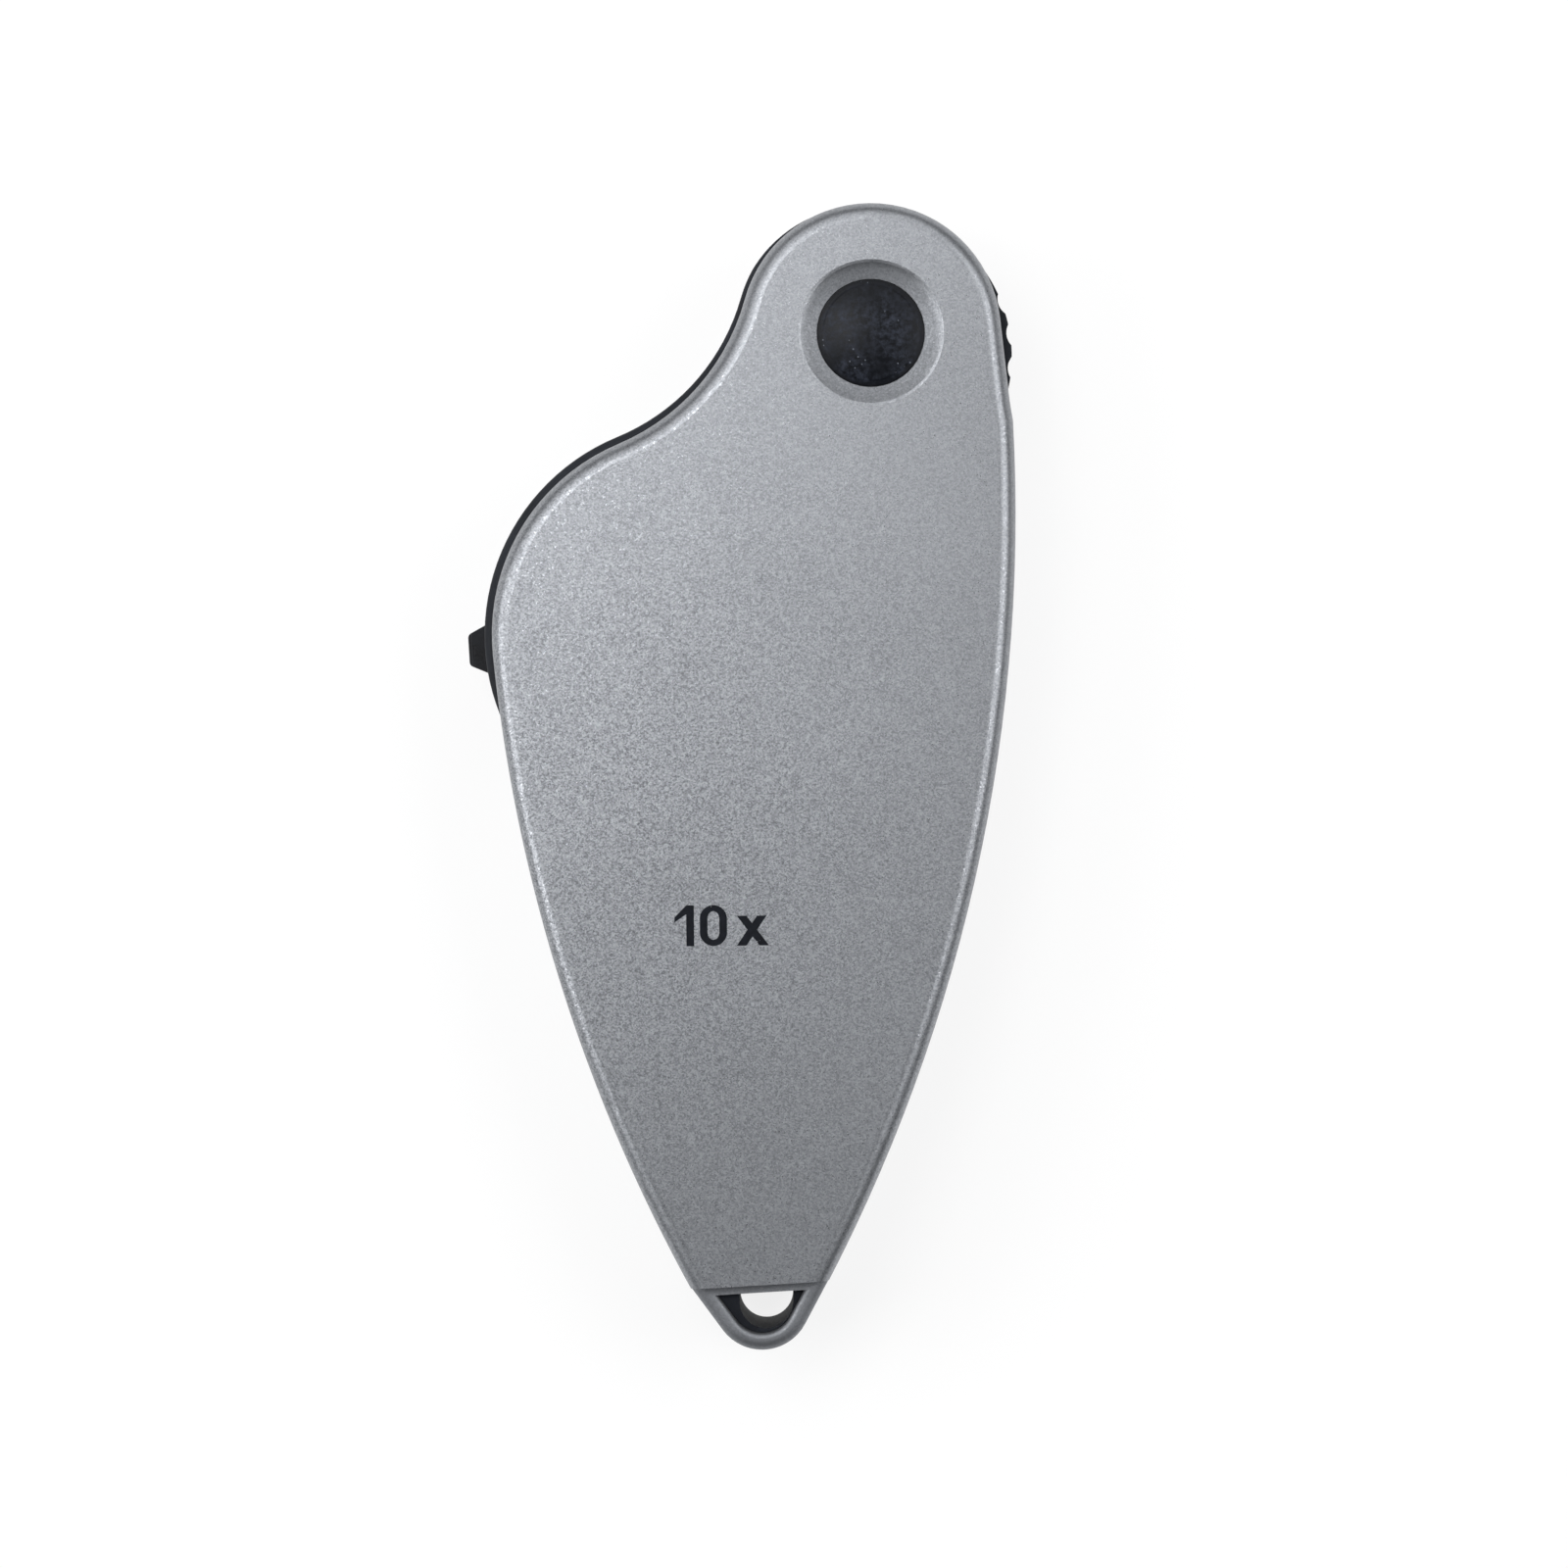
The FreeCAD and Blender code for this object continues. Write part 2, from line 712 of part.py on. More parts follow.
def pivot_screw():
    floor = case_depth - cap_seat_depth - head_pocket_depth
    top = case_depth - cap_seat_depth - fit_clearance
    end = cap_seat_depth + fit_clearance
    head = cylinder(hinge, screw_head_radius, floor, top)
    head = head.makeFillet(screw_slot_depth / 2, top_edges(head, top))
    shank = cylinder(hinge, screw_shank_radius, end, floor)
    slot = block(
        hinge,
        Vector(1, 0, 0),
        Vector(0, 1, 0),
        (-lobe_radius, lobe_radius),
        (-screw_slot_width / 2, screw_slot_width / 2),
        (top - screw_slot_depth, top + overrun),
    )
    return joined(head, [shank]).cut(slot)


def pivot_nut():
    bottom = cap_seat_depth + fit_clearance
    top = cap_seat_depth + head_pocket_depth
    nut = hex_prism(nut_across_flats / 2, bottom, top)
    return nut.cut(cylinder(hinge, screw_shank_radius + fit_clearance, bottom, top))


def pivot_sleeve():
    bottom = rear_inner + pivot_boss_height
    top = front_inner - pivot_boss_height
    return tube(hinge, screw_shank_radius + fit_clearance, sleeve_radius, bottom, top)


def hub_core_range():
    bottom = rear_inner + pivot_boss_height + washer_thickness + fit_clearance
    stack = washer_thickness + wave_thickness + wave_bow + 2 * fit_clearance
    top = front_inner - pivot_boss_height - stack
    return bottom, top


def pivot_bush():
    bottom, top = hub_core_range()
    return tube(hinge, sleeve_radius + fit_clearance, sleeve_radius + bush_wall, bottom, top)


def thrust_washer(bottom):
    return tube(hinge, sleeve_radius + fit_clearance, washer_radius, bottom, bottom + washer_thickness)


def wave_washer():
    # Washer bowed about the X axis, flat to the boss in the middle.
    top = front_inner - pivot_boss_height
    bow_radius = (washer_radius ** 2 + wave_bow ** 2) / (2 * wave_bow)
    axis_start = Vector(hinge_x - washer_radius - overrun, hinge_y, top - bow_radius)
    length = 2 * (washer_radius + overrun)
    outer = Part.makeCylinder(bow_radius, length, axis_start, Vector(1, 0, 0))
    inner = Part.makeCylinder(bow_radius - wave_thickness, length, axis_start, Vector(1, 0, 0))
    band = outer.cut(inner)
    blank = tube(hinge, sleeve_radius + fit_clearance, washer_radius, top - washer_radius, top + overrun)
    return blank.common(band)


def thumb_pad(bottom, top):
    # Ribbed sector of the hub that the thumb pushes to swing the lens out.
    pad_centre = hinge + Vector(thumb_pad_shift_x, thumb_pad_shift_y, 0)
    pad = cylinder(pad_centre, thumb_pad_radius, bottom, top)
    root = hub_relief_radius - carrier_skin
    limit = sector(hinge, root, thumb_pad_radius, thumb_pad_start, thumb_pad_end, bottom, top)
    pad = pad.common(limit)
    grooves = []
    for step in range(thumb_groove_count):
        angle = thumb_groove_first + step * thumb_groove_pitch
        orbit = thumb_pad_radius + thumb_groove_radius - thumb_groove_sink
        centre = polar(pad_centre, orbit, angle)
        grooves.append(cylinder(centre, thumb_groove_radius, bottom - overrun, top + overrun))
    return pad.cut(grooves)


def carrier_screw_spots():
    spots = [polar(ring_centre, channel_mid, angle) for angle in ring_screw_angles]
    spots += [polar(hinge, hub_screw_orbit, angle) for angle in hub_screw_angles]
    return spots


def hub_taper():
    # Cut that lets the hub's edge run out under the lobe.
    turn = math.radians(hub_taper_end - hub_taper_angle)
    radius = carrier_hub_radius - hub_taper_shift * math.cos(turn)
    centre = polar(hinge, hub_taper_shift, hub_taper_angle)
    outside = sector(
        hinge,
        hub_relief_radius,
        hub_clear_radius,
        hub_relief_end,
        hub_taper_end,
        mid - overrun,
        case_depth,
    )
    return outside.cut(cylinder(centre, radius, mid - overrun, case_depth))


def carrier_half():
    # Front half of the carrier with the solid parts that both halves share.
    face = carrier_face()
    outer = prism(face, mid, carrier_front_z)
    outer = outer.makeFillet(carrier_fillet, top_edges(outer, carrier_front_z))
    relief = sector(
        hinge,
        hub_relief_radius,
        hub_clear_radius + overrun,
        hub_relief_start,
        hub_relief_end,
        mid - overrun,
        case_depth,
    )
    outer = outer.cut([relief, hub_taper()])
    floor = carrier_front_z - carrier_skin
    hollow = prism(face.makeOffset2D(-carrier_skin), mid - overrun, floor)
    hollow = hollow.cut(cylinder(hinge, carrier_hub_radius, mid - overrun, floor))
    shell = outer.cut(hollow)
    seat = cylinder(ring_centre, lens_seat_outer, mid, floor + carrier_skin / 2)
    well_reach = button_cell_radius + well_wall
    well = block(
        arm_point(cell_stack_distance, 0, 0),
        arm_along,
        arm_across,
        (-well_reach, well_reach),
        (battery_end() - carrier_skin, cap_face - carrier_skin / 2),
        (mid, floor + carrier_skin / 2),
    )
    bosses = []
    for spot in carrier_screw_spots():
        bosses.append(cylinder(spot, carrier_boss_radius, mid, floor + carrier_skin / 2))
    pad = thumb_pad(mid, carrier_front_z - carrier_fillet)
    return shell.fuse([seat, well, pad] + bosses)


def carrier_voids():
    # Bores and pockets that run through both halves of the carrier.
    bottom, top = hub_core_range()
    bores = [
        cylinder(hinge, sleeve_radius + bush_wall + fit_clearance, 0, case_depth),
        cylinder(hinge, hub_bore_radius, top, case_depth),
        cylinder(hinge, hub_bore_radius, 0, bottom),
        cylinder(ring_centre, lens_seat_radius, 0, case_depth),
        cylinder(
            ring_centre,
            lens_seat_radius + cell_flange,
            mid - cell_flange_length / 2 - fit_clearance,
            mid + cell_flange_length / 2 + fit_clearance,
        ),
    ]
    cap_seat = cap_face - cap_disc_length
    plug_start = cap_seat - cap_plug_length
    bores.append(across_cylinder(button_cell_radius + fit_clearance, battery_end(), cap_face))
    bores.append(across_cylinder(cap_disc_radius + 2 * fit_clearance, cap_seat, leaf_half_width))
    bores.append(
        across_cylinder(
            cap_plug_radius + cap_lug_height + 2 * fit_clearance,
            plug_start - fit_clearance,
            plug_start + cap_lug_length + fit_clearance,
        )
    )
    bores.append(cap_entry())
    bores.append(strip_slot())
    bores.append(switch_slot())
    bores.append(lamp_bore())
    bores.append(channel())
    return bores


def channel():
    # Space round the lens seat for the board, the lamp and the switch.
    floor = carrier_rear_z + carrier_skin
    top = carrier_front_z - carrier_skin
    start = board_start - channel_margin_angle
    end = board_end + channel_margin_angle
    return sector(ring_centre, lens_seat_outer, channel_outer, start, end, floor, top)


def cap_lugs(extra, start, end):
    # Two lugs on the plug, on the arm's own line when the cap is shut.
    radius = cap_plug_radius + cap_lug_height + 2 * extra
    reach = cap_plug_radius * math.tan(math.radians(cap_lug_angle / 2)) + extra
    slab = block(
        arm_point(cell_stack_distance, 0, 0),
        arm_along,
        arm_across,
        (-leaf_half_width, leaf_half_width),
        (start, end),
        (mid - reach, mid + reach),
    )
    return across_cylinder(radius, start, end).common(slab)


def cap_entry():
    # Slots that let the lugs in when the cap is turned to its open end.
    start = cap_face - cap_disc_length - cap_plug_length
    slots = cap_lugs(fit_clearance, start, cap_face - cap_disc_length + fit_clearance)
    slots.rotate(arm_point(cell_stack_distance, 0, mid), arm_across, cap_turn)
    return slots


def strip_end():
    return cap_face - cap_disc_length - cap_plug_length - leaf_thickness - contact_dimple_height / 2


def stack_end():
    return strip_end() - strip_gap


def stack_start():
    return stack_end() - button_cell_count * button_cell_length


def battery_end():
    # Blind end of the battery bore, a spring's room behind the cells.
    return stack_start() - battery_spring_room


def strip_slot():
    # Side pocket of the battery bore for the contact strip.
    inner = button_cell_radius + strip_gap
    outer = inner + leaf_thickness + 2 * fit_clearance
    return block(
        arm_point(cell_stack_distance, 0, 0),
        arm_along,
        arm_across,
        (0, outer),
        (battery_end(), strip_end() + leaf_thickness),
        (board_top - fit_clearance, mid + strip_width / 2 + fit_clearance),
    )


def switch_axes():
    outward = heading(switch_angle)
    upward = heading(switch_angle - 90)
    return outward, upward


def switch_slot():
    outward, upward = switch_axes()
    return block(
        ring_centre,
        outward,
        upward,
        (channel_outer - carrier_skin, carrier_ring_radius + overrun),
        (-knob_stem_length / 2 - knob_clearance, knob_stem_length / 2 + switch_travel + knob_clearance),
        (mid - knob_stem_height / 2 - knob_clearance, mid + knob_stem_height / 2 + knob_clearance),
    )


def lamp_bore():
    spot = polar(ring_centre, channel_mid, lamp_angle)
    return cylinder(spot, lamp_radius + fit_clearance, 0, board_underside)


def carrier_front():
    half = carrier_half()
    cuts = carrier_voids()
    for spot in carrier_screw_spots():
        pilot = carrier_screw_radius + fit_clearance
        cuts.append(cylinder(spot, pilot, mid - overrun, mid + carrier_screw_reach + fit_clearance))
    return half.cut(cuts)


def carrier_rear():
    half = mirrored_to_rear(carrier_half())
    cuts = carrier_voids()
    cuts.append(stop_groove())
    for spot in carrier_screw_spots():
        sink = carrier_rear_z + carrier_screw_head_sink
        cuts.append(cylinder(spot, carrier_screw_head_radius + 2 * fit_clearance, 0, sink))
        cuts.append(cylinder(spot, carrier_screw_radius + fit_clearance, 0, mid + overrun))
    return half.cut(cuts)


def stop_groove():
    half_width = stop_radius + stop_clearance
    inner = stop_orbit_radius - half_width
    outer = stop_orbit_radius + half_width
    top = rear_inner + stop_height + stop_clearance
    start = stop_angle
    end = stop_angle + swing_range
    groove = sector(hinge, inner, outer, start, end, 0, top)
    ends = [cylinder(polar(hinge, stop_orbit_radius, angle), half_width, 0, top) for angle in (start, end)]
    return groove.fuse(ends)


def spherical(radius, apex_z, side):
    # Ball whose outer pole is at the apex, on the front or the rear side.
    centre = Vector(ring_centre.x, ring_centre.y, apex_z - side * radius)
    return Part.makeSphere(radius, centre)


def sag(radius, half_aperture):
    return radius - math.sqrt(radius ** 2 - half_aperture ** 2)


def crown_lens():
    half = crown_half_thickness
    blank = cylinder(ring_centre, lens_radius, mid - half, mid + half)
    blank = blank.common(spherical(cement_curve_radius, mid + half, 1))
    return blank.common(spherical(cement_curve_radius, mid - half, -1))


def front_flint_lens():
    apex = mid + lens_half_thickness
    blank = cylinder(ring_centre, lens_radius, mid, apex)
    blank = blank.common(spherical(outer_curve_radius, apex, 1))
    return blank.cut(spherical(cement_curve_radius, mid + crown_half_thickness, 1))


def lens_cell():
    edge = mid + lens_half_thickness - sag(outer_curve_radius, lens_radius - cell_lip)
    edge += fit_clearance
    outer = lens_radius + cell_wall
    bore = lens_radius + fit_clearance
    lip = lens_radius - cell_lip
    end = case_depth - carrier_rear_z - cell_end_recess
    start = carrier_rear_z + cell_end_recess
    flange = outer + cell_flange
    half_flange = cell_flange_length / 2
    profile = [
        (bore, start),
        (outer, start),
        (outer, mid - half_flange),
        (flange, mid - half_flange),
        (flange, mid + half_flange),
        (outer, mid + half_flange),
        (outer, end),
        (bore, end),
        (lip, edge + cell_lip_length),
        (lip, edge),
        (bore, edge),
    ]
    return turned(profile, ring_centre)


def lens_retainer():
    lens_back = mid - lens_half_thickness + sag(outer_curve_radius, lens_radius - cell_lip)
    top = lens_back - fit_clearance
    bottom = carrier_rear_z + 2 * cell_end_recess
    ring = tube(ring_centre, lens_radius - cell_lip, lens_radius, bottom, top)
    slot = block(
        ring_centre,
        Vector(1, 0, 0),
        Vector(0, 1, 0),
        (-lens_radius - overrun, lens_radius + overrun),
        (-retainer_slot / 2, retainer_slot / 2),
        (bottom - overrun, bottom + retainer_slot),
    )
    return ring.cut(slot)


def button_cells():
    cells = []
    for number in range(button_cell_count):
        end = stack_end() - number * button_cell_length
        can = across_cylinder(button_cell_radius, end - button_cell_length, end - button_cell_step)
        step_radius = button_cell_radius - 2 * button_cell_step
        step = across_cylinder(step_radius, end - button_cell_step, end - fit_clearance)
        cells.append(joined(can, [step]))
    return Part.makeCompound(cells)


def battery_spring():
    # Bowed leaf with its foot on the blind end of the bore.
    blind = battery_end()
    foot = block(
        arm_point(cell_stack_distance, 0, 0),
        arm_along,
        arm_across,
        (-button_cell_radius / 2, button_cell_radius + strip_gap),
        (blind, blind + leaf_thickness),
        (mid - strip_width / 2, mid + strip_width / 2),
    )
    rise = stack_start() - blind - leaf_thickness - fit_clearance
    half_span = button_cell_radius / 2
    start = arm_point(cell_stack_distance - half_span, blind + leaf_thickness / 2, 0)
    crest = arm_point(cell_stack_distance, blind + leaf_thickness / 2 + rise, 0)
    end = arm_point(cell_stack_distance + half_span, blind + leaf_thickness / 2, 0)
    shift = arm_across * (leaf_thickness / 2)
    edges = [
        Part.Arc(start - shift, crest - shift, end - shift).toShape(),
        line(end - shift, end + shift),
        Part.Arc(end + shift, crest + shift, start + shift).toShape(),
        line(start + shift, start - shift),
    ]
    bow = prism(face_of(edges), mid - strip_width / 2, mid + strip_width / 2)
    tail_end = button_cell_radius - leaf_thickness
    tail = board_tail((tail_end - 2 * leaf_thickness, tail_end), blind)
    return joined(foot, [bow, tail])


def board_tail(along_range, start):
    # Tail of a contact that stands on the circuit board.
    return block(
        arm_point(cell_stack_distance, 0, 0),
        arm_along,
        arm_across,
        along_range,
        (start, start + leaf_thickness),
        (board_top, mid),
    )


def contact_strip():
    # Strip beside the cells with a finger that bears on the cap's contact.
    origin = arm_point(cell_stack_distance, 0, 0)
    inner = button_cell_radius + strip_gap
    heights = (mid - strip_width / 2, mid + strip_width / 2)
    long_run = block(
        origin,
        arm_along,
        arm_across,
        (inner + fit_clearance, inner + fit_clearance + leaf_thickness),
        (battery_end() + 2 * leaf_thickness, strip_end() + leaf_thickness),
        heights,
    )
    finger = block(
        origin,
        arm_along,
        arm_across,
        (contact_dimple_radius + leaf_thickness, inner + leaf_thickness),
        (strip_end(), strip_end() + leaf_thickness),
        heights,
    )
    side = (inner + fit_clearance, inner + fit_clearance + leaf_thickness)
    return joined(long_run, [finger, board_tail(side, battery_end() + 2 * leaf_thickness)])


def cap_contact():
    end = cap_face - cap_disc_length - cap_plug_length
    disc = across_cylinder(cap_plug_radius - fit_clearance, end - leaf_thickness / 2, end)
    dimple = across_cylinder(contact_dimple_radius, stack_end(), end)
    return joined(disc, [dimple])


def battery_cap():
    plug_start = cap_face - cap_disc_length - cap_plug_length
    disc = across_cylinder(cap_disc_radius, cap_face - cap_disc_length + fit_clearance, cap_face)
    plug = across_cylinder(cap_plug_radius, plug_start, cap_face - cap_disc_length / 2)
    lugs = cap_lugs(0, plug_start, plug_start + cap_lug_length)
    slot = block(
        arm_point(cell_stack_distance, 0, 0),
        arm_along,
        arm_across,
        (-leaf_half_width, leaf_half_width),
        (cap_face - cap_slot_depth, cap_face + overrun),
        (mid - cap_slot_width / 2, mid + cap_slot_width / 2),
    )
    return joined(disc, [plug, lugs]).cut(slot)


def circuit_board():
    inner = lens_seat_outer + board_inner_gap
    outer = channel_outer - board_outer_gap
    board = sector(ring_centre, inner, outer, board_start, board_end, board_underside, board_top)
    return board.cut(across_cylinder(button_cell_radius + fit_clearance, battery_end(), cap_face))


def lamp():
    spot = polar(ring_centre, channel_mid, lamp_angle)
    ball_radius = (lamp_radius ** 2 + lamp_round ** 2) / (2 * lamp_round)
    ball = Part.makeSphere(ball_radius, Vector(spot.x, spot.y, lamp_tip + ball_radius))
    dome = cylinder(spot, lamp_radius, lamp_tip, lamp_tip + lamp_round).common(ball)
    body = cylinder(spot, lamp_radius, lamp_tip + lamp_round, board_underside)
    flange = cylinder(spot, lamp_radius + lamp_flange, board_underside - lamp_flange_height, board_underside)
    return joined(body, [dome, flange])


def switch_can():
    outward, upward = switch_axes()
    inner = lens_seat_outer + board_inner_gap
    can = block(
        ring_centre,
        outward,
        upward,
        (inner, inner + switch_can_depth),
        (-switch_can_length / 2 + switch_travel / 2, switch_can_length / 2 + switch_travel / 2),
        (board_top, board_top + switch_can_height),
    )
    window = block(
        ring_centre,
        outward,
        upward,
        (inner + switch_can_depth / 2, inner + switch_can_depth + overrun),
        (-knob_stem_length / 2 - knob_clearance, knob_stem_length / 2 + switch_travel + knob_clearance),
        (mid - knob_stem_height / 2 - knob_clearance, mid + knob_stem_height / 2 + knob_clearance),
    )
    return can.cut(window)


def switch_knob():
    # Trapezoid nub outside the ring on a stem that enters the switch.
    outward, upward = switch_axes()
    base = carrier_ring_radius + fit_clearance
    bottom = mid - knob_height / 2
    profile_shares = [(0, -1), (0, 1), (1, 1), (1, -1)]
    corners = []
    for rise_share, side_share in profile_shares:
        half = knob_base_length / 2 + (knob_crown_length - knob_base_length) / 2 * rise_share
        corners.append(ring_centre + outward * (base + knob_rise * rise_share) + upward * half * side_share)
    nub = prism(Part.Face(Part.makePolygon(corners + corners[:1])), bottom, bottom + knob_height)
    crown_reach = base + knob_rise * knob_crown_share
    crown_edges = []
    for edge in nub.Edges:
        if (edge.CenterOfMass - ring_centre).dot(outward) > crown_reach:
            crown_edges.append(edge)
    nub = nub.makeFillet(knob_fillet, crown_edges)
    inner = lens_seat_outer + board_inner_gap + switch_can_depth / 2 + knob_clearance
    stem = block(
        ring_centre,
        outward,
        upward,
        (inner, base + knob_rise / 2),
        (-knob_stem_length / 2, knob_stem_length / 2),
        (mid - knob_stem_height / 2, mid + knob_stem_height / 2),
    )
    return joined(nub, [stem])


def rear_screw(place, head_radius, head_height, shank_radius, seat, end):
    # Screw whose head, with a cross recess, faces the rear.
    outer = seat - head_height
    head = cylinder(place, head_radius, outer, seat)
    screw = joined(head, [cylinder(place, shank_radius, seat, end)])
    reach = head_radius * recess_reach_share
    half_width = head_radius * recess_width_share / 2
    floor = outer + head_height * recess_depth_share
    cuts = []
    for x_reach, y_reach in ((reach, half_width), (half_width, reach)):
        cuts.append(
            block(
                place,
                Vector(1, 0, 0),
                Vector(0, 1, 0),
                (-x_reach, x_reach),
                (-y_reach, y_reach),
                (outer - overrun, floor),
            )
        )
    return screw.cut(cuts)


def case_screws():
    screws = []
    for spot in case_screw_spots():
        screws.append(
            rear_screw(
                spot,
                case_screw_head_radius,
                case_screw_head_height,
                case_screw_radius,
                case_screw_head_sink,
                mid + case_screw_reach,
            )
        )
    return Part.makeCompound(screws)


def carrier_screws():
    screws = []
    for spot in carrier_screw_spots():
        screws.append(
            rear_screw(
                spot,
                carrier_screw_head_radius,
                carrier_screw_head_height,
                carrier_screw_radius,
                carrier_rear_z + carrier_screw_head_sink,
                mid + carrier_screw_reach,
            )
        )
    return Part.makeCompound(screws)


rear_washer_z = rear_inner + pivot_boss_height
front_washer_z = hub_core_range()[1] + fit_clearance / 2

nodes = {
    "front_shell": front_shell(),
    "rear_shell": rear_shell(),
    "eye_liner": eye_liner(),
    "case_screws": case_screws(),
    "front_pivot_cap": pivot_cap(),
    "rear_pivot_cap": mirrored_to_rear(pivot_cap()),
    "pivot_screw": pivot_screw(),
    "pivot_nut": pivot_nut(),
    "pivot_sleeve": pivot_sleeve(),
    "wave_washer": wave_washer(),
    "front_thrust_washer": thrust_washer(front_washer_z),
    "rear_thrust_washer": thrust_washer(rear_washer_z),
    "pivot_bush": pivot_bush(),
    "carrier_front": carrier_front(),
    "carrier_rear": carrier_rear(),
    "carrier_screws": carrier_screws(),
    "lens_cell": lens_cell(),
    "front_flint_lens": front_flint_lens(),
    "crown_lens": crown_lens(),
    "rear_flint_lens": mirrored_to_rear(front_flint_lens()),
    "lens_retainer": lens_retainer(),
    "button_cells": button_cells(),
    "battery_spring": battery_spring(),
    "contact_strip": contact_strip(),
    "battery_cap": battery_cap(),
    "cap_contact": cap_contact(),
    "circuit_board": circuit_board(),
    "lamp": lamp(),
    "switch_can": switch_can(),
    "switch_knob": switch_knob(),
}

for name, shape in nodes.items():
    shape.exportStep("parts/" + name + ".step")
    box = shape.BoundBox
    print(
        name,
        "solids", len(shape.Solids),
        "valid", shape.isValid(),
        "volume", round(shape.Volume, 2),
        "z", round(box.ZMin, 2), round(box.ZMax, 2),
    )
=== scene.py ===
import json
import math

import bpy
from mathutils import Matrix, Vector


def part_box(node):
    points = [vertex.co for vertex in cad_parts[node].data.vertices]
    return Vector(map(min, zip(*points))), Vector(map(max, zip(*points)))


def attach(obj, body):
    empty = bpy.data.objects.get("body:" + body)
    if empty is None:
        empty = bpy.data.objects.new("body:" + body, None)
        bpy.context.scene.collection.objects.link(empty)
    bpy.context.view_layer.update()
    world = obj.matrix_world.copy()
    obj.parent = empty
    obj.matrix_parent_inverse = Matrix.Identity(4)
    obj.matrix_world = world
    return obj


# Looks of a folding pocket loupe, closed, seen from straight above its front face.
# Lengths are metres, in the frame of the CAD model.

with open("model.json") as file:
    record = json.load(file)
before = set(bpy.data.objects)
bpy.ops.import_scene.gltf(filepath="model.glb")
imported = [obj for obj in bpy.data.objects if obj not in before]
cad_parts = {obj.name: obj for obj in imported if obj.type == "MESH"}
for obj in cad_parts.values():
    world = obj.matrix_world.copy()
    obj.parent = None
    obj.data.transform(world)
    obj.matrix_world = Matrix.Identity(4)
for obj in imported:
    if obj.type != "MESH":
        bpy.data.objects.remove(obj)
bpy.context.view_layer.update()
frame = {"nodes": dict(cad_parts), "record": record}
nodes = frame["nodes"]

# Heights of the front face and of the plane where the mouldings meet
FACE_Z = 0.016
MID_Z = 0.008

# The camera hangs over the middle of the picture, half a metre above the face
CAMERA_X = 0.00254
CAMERA_Y = -0.02322
CAMERA_HEIGHT = 0.5
PICTURE_WIDTH = 0.1277
SENSOR_WIDTH = 36.0
CAMERA_ROLL = math.radians(-0.6)

# The pivot's axis, the middle of the lanyard eye, the height of its lug over the parting
# plane and the place where the flakes lie thickest
PIVOT = (0.0100, 0.0135)
EYE_MIDDLE = (0.0007, -0.0659)
LUG_RISE = 0.0065
FLAKE_MIDDLE = (-0.0120, -0.0300)

# Distances over which a look changes: from the middle of the flakes, from the eye, where a cord
# wears the paint and a painted shade darkens the lug, and from the pivot across the recess's
# wall, the cap's rim, which is painted darker as shade, and its lip
FLAKE_BAND = (0.010, 0.042)
LUG_WEAR_AND_SHADE_BAND = (0.0066, 0.0080)
RECESS_BAND = (0.0052, 0.0058)
# The cap's rim band is where the cap's colour is painted darker, as shade
CAP_RIM_SHADE_BAND = (0.00392, 0.00425)
LIP_BAND = (0.00384, 0.00396)

# The groove where two mouldings meet: half the width of its floor, then of its mouth, for the
# case and for the lens carrier, and its depth
CASE_GROOVE = (0.00004, 0.00011)
CARRIER_GROOVE = (0.00003, 0.00010)
GROOVE_DEPTH = 0.00006

# The crown lens is this thick at its edge, and faces this near its curves are cemented
CROWN_EDGE = 0.0004
CEMENT_BAND = 0.00005

# The paper under the loupe, a hair below the rear face so that the two don't coincide
FLOOR_HALF = 4.0
FLOOR_Z = -0.00002

# The printed figures: foot, height and stroke of the digits, width and height of the cross's
# strokes, the film's thickness, and how much higher the second stroke of the cross lies, so
# that the two don't coincide
PRINT_FOOT = -0.03635
DIGIT_HEIGHT = 0.00333
DIGIT_STROKE = 0.00063
CROSS_STROKE = 0.00078
CROSS_HEIGHT = 0.00244
PRINT_FILM = 0.000016
PRINT_LIFT = 0.000004

# The spot that all the soft boxes face, and the light of the room around them
LIT_SPOT = (0.0, -0.02, FACE_Z)
ROOM_COLOUR = (0.93, 0.96, 1.0, 1.0)
ROOM_STRENGTH = 0.12

# Most values of a noise texture lie between these
MOST = (0.3, 0.7)

# Scale that draws grain out round an upright axis, as a lathe does
TURNED = (1.0, 1.0, 8.0)

# Dark and light tone, roughness, grains to the metre, height of the grain, and its stretch
METALS = {
    "screw_steel": ((0.40, 0.40, 0.39), (0.62, 0.62, 0.60), 0.32, 2600.0, 0.000006),
    "sleeve_steel": ((0.45, 0.45, 0.45), (0.62, 0.62, 0.62), 0.26, 2200.0, 0.000005, TURNED),
    "spring_steel": ((0.34, 0.35, 0.38), (0.52, 0.52, 0.53), 0.30, 1800.0, 0.000004),
    "switch_steel": ((0.55, 0.55, 0.53), (0.72, 0.72, 0.70), 0.30, 2400.0, 0.000004),
    "cell_steel": ((0.60, 0.60, 0.57), (0.78, 0.77, 0.74), 0.18, 1500.0, 0.000002),
    "bush_brass": ((0.55, 0.38, 0.14), (0.78, 0.60, 0.27), 0.28, 2300.0, 0.000005, TURNED),
    "contact_brass": ((0.60, 0.48, 0.28), (0.80, 0.69, 0.47), 0.28, 2100.0, 0.000004),
}


def deselect():
    bpy.ops.object.select_all(action="DESELECT")


def settle(piece):
    """Puts a finished piece's place into its mesh and its object at the origin."""
    piece.data.transform(piece.matrix_world)
    piece.matrix_world = Matrix.Identity(4)


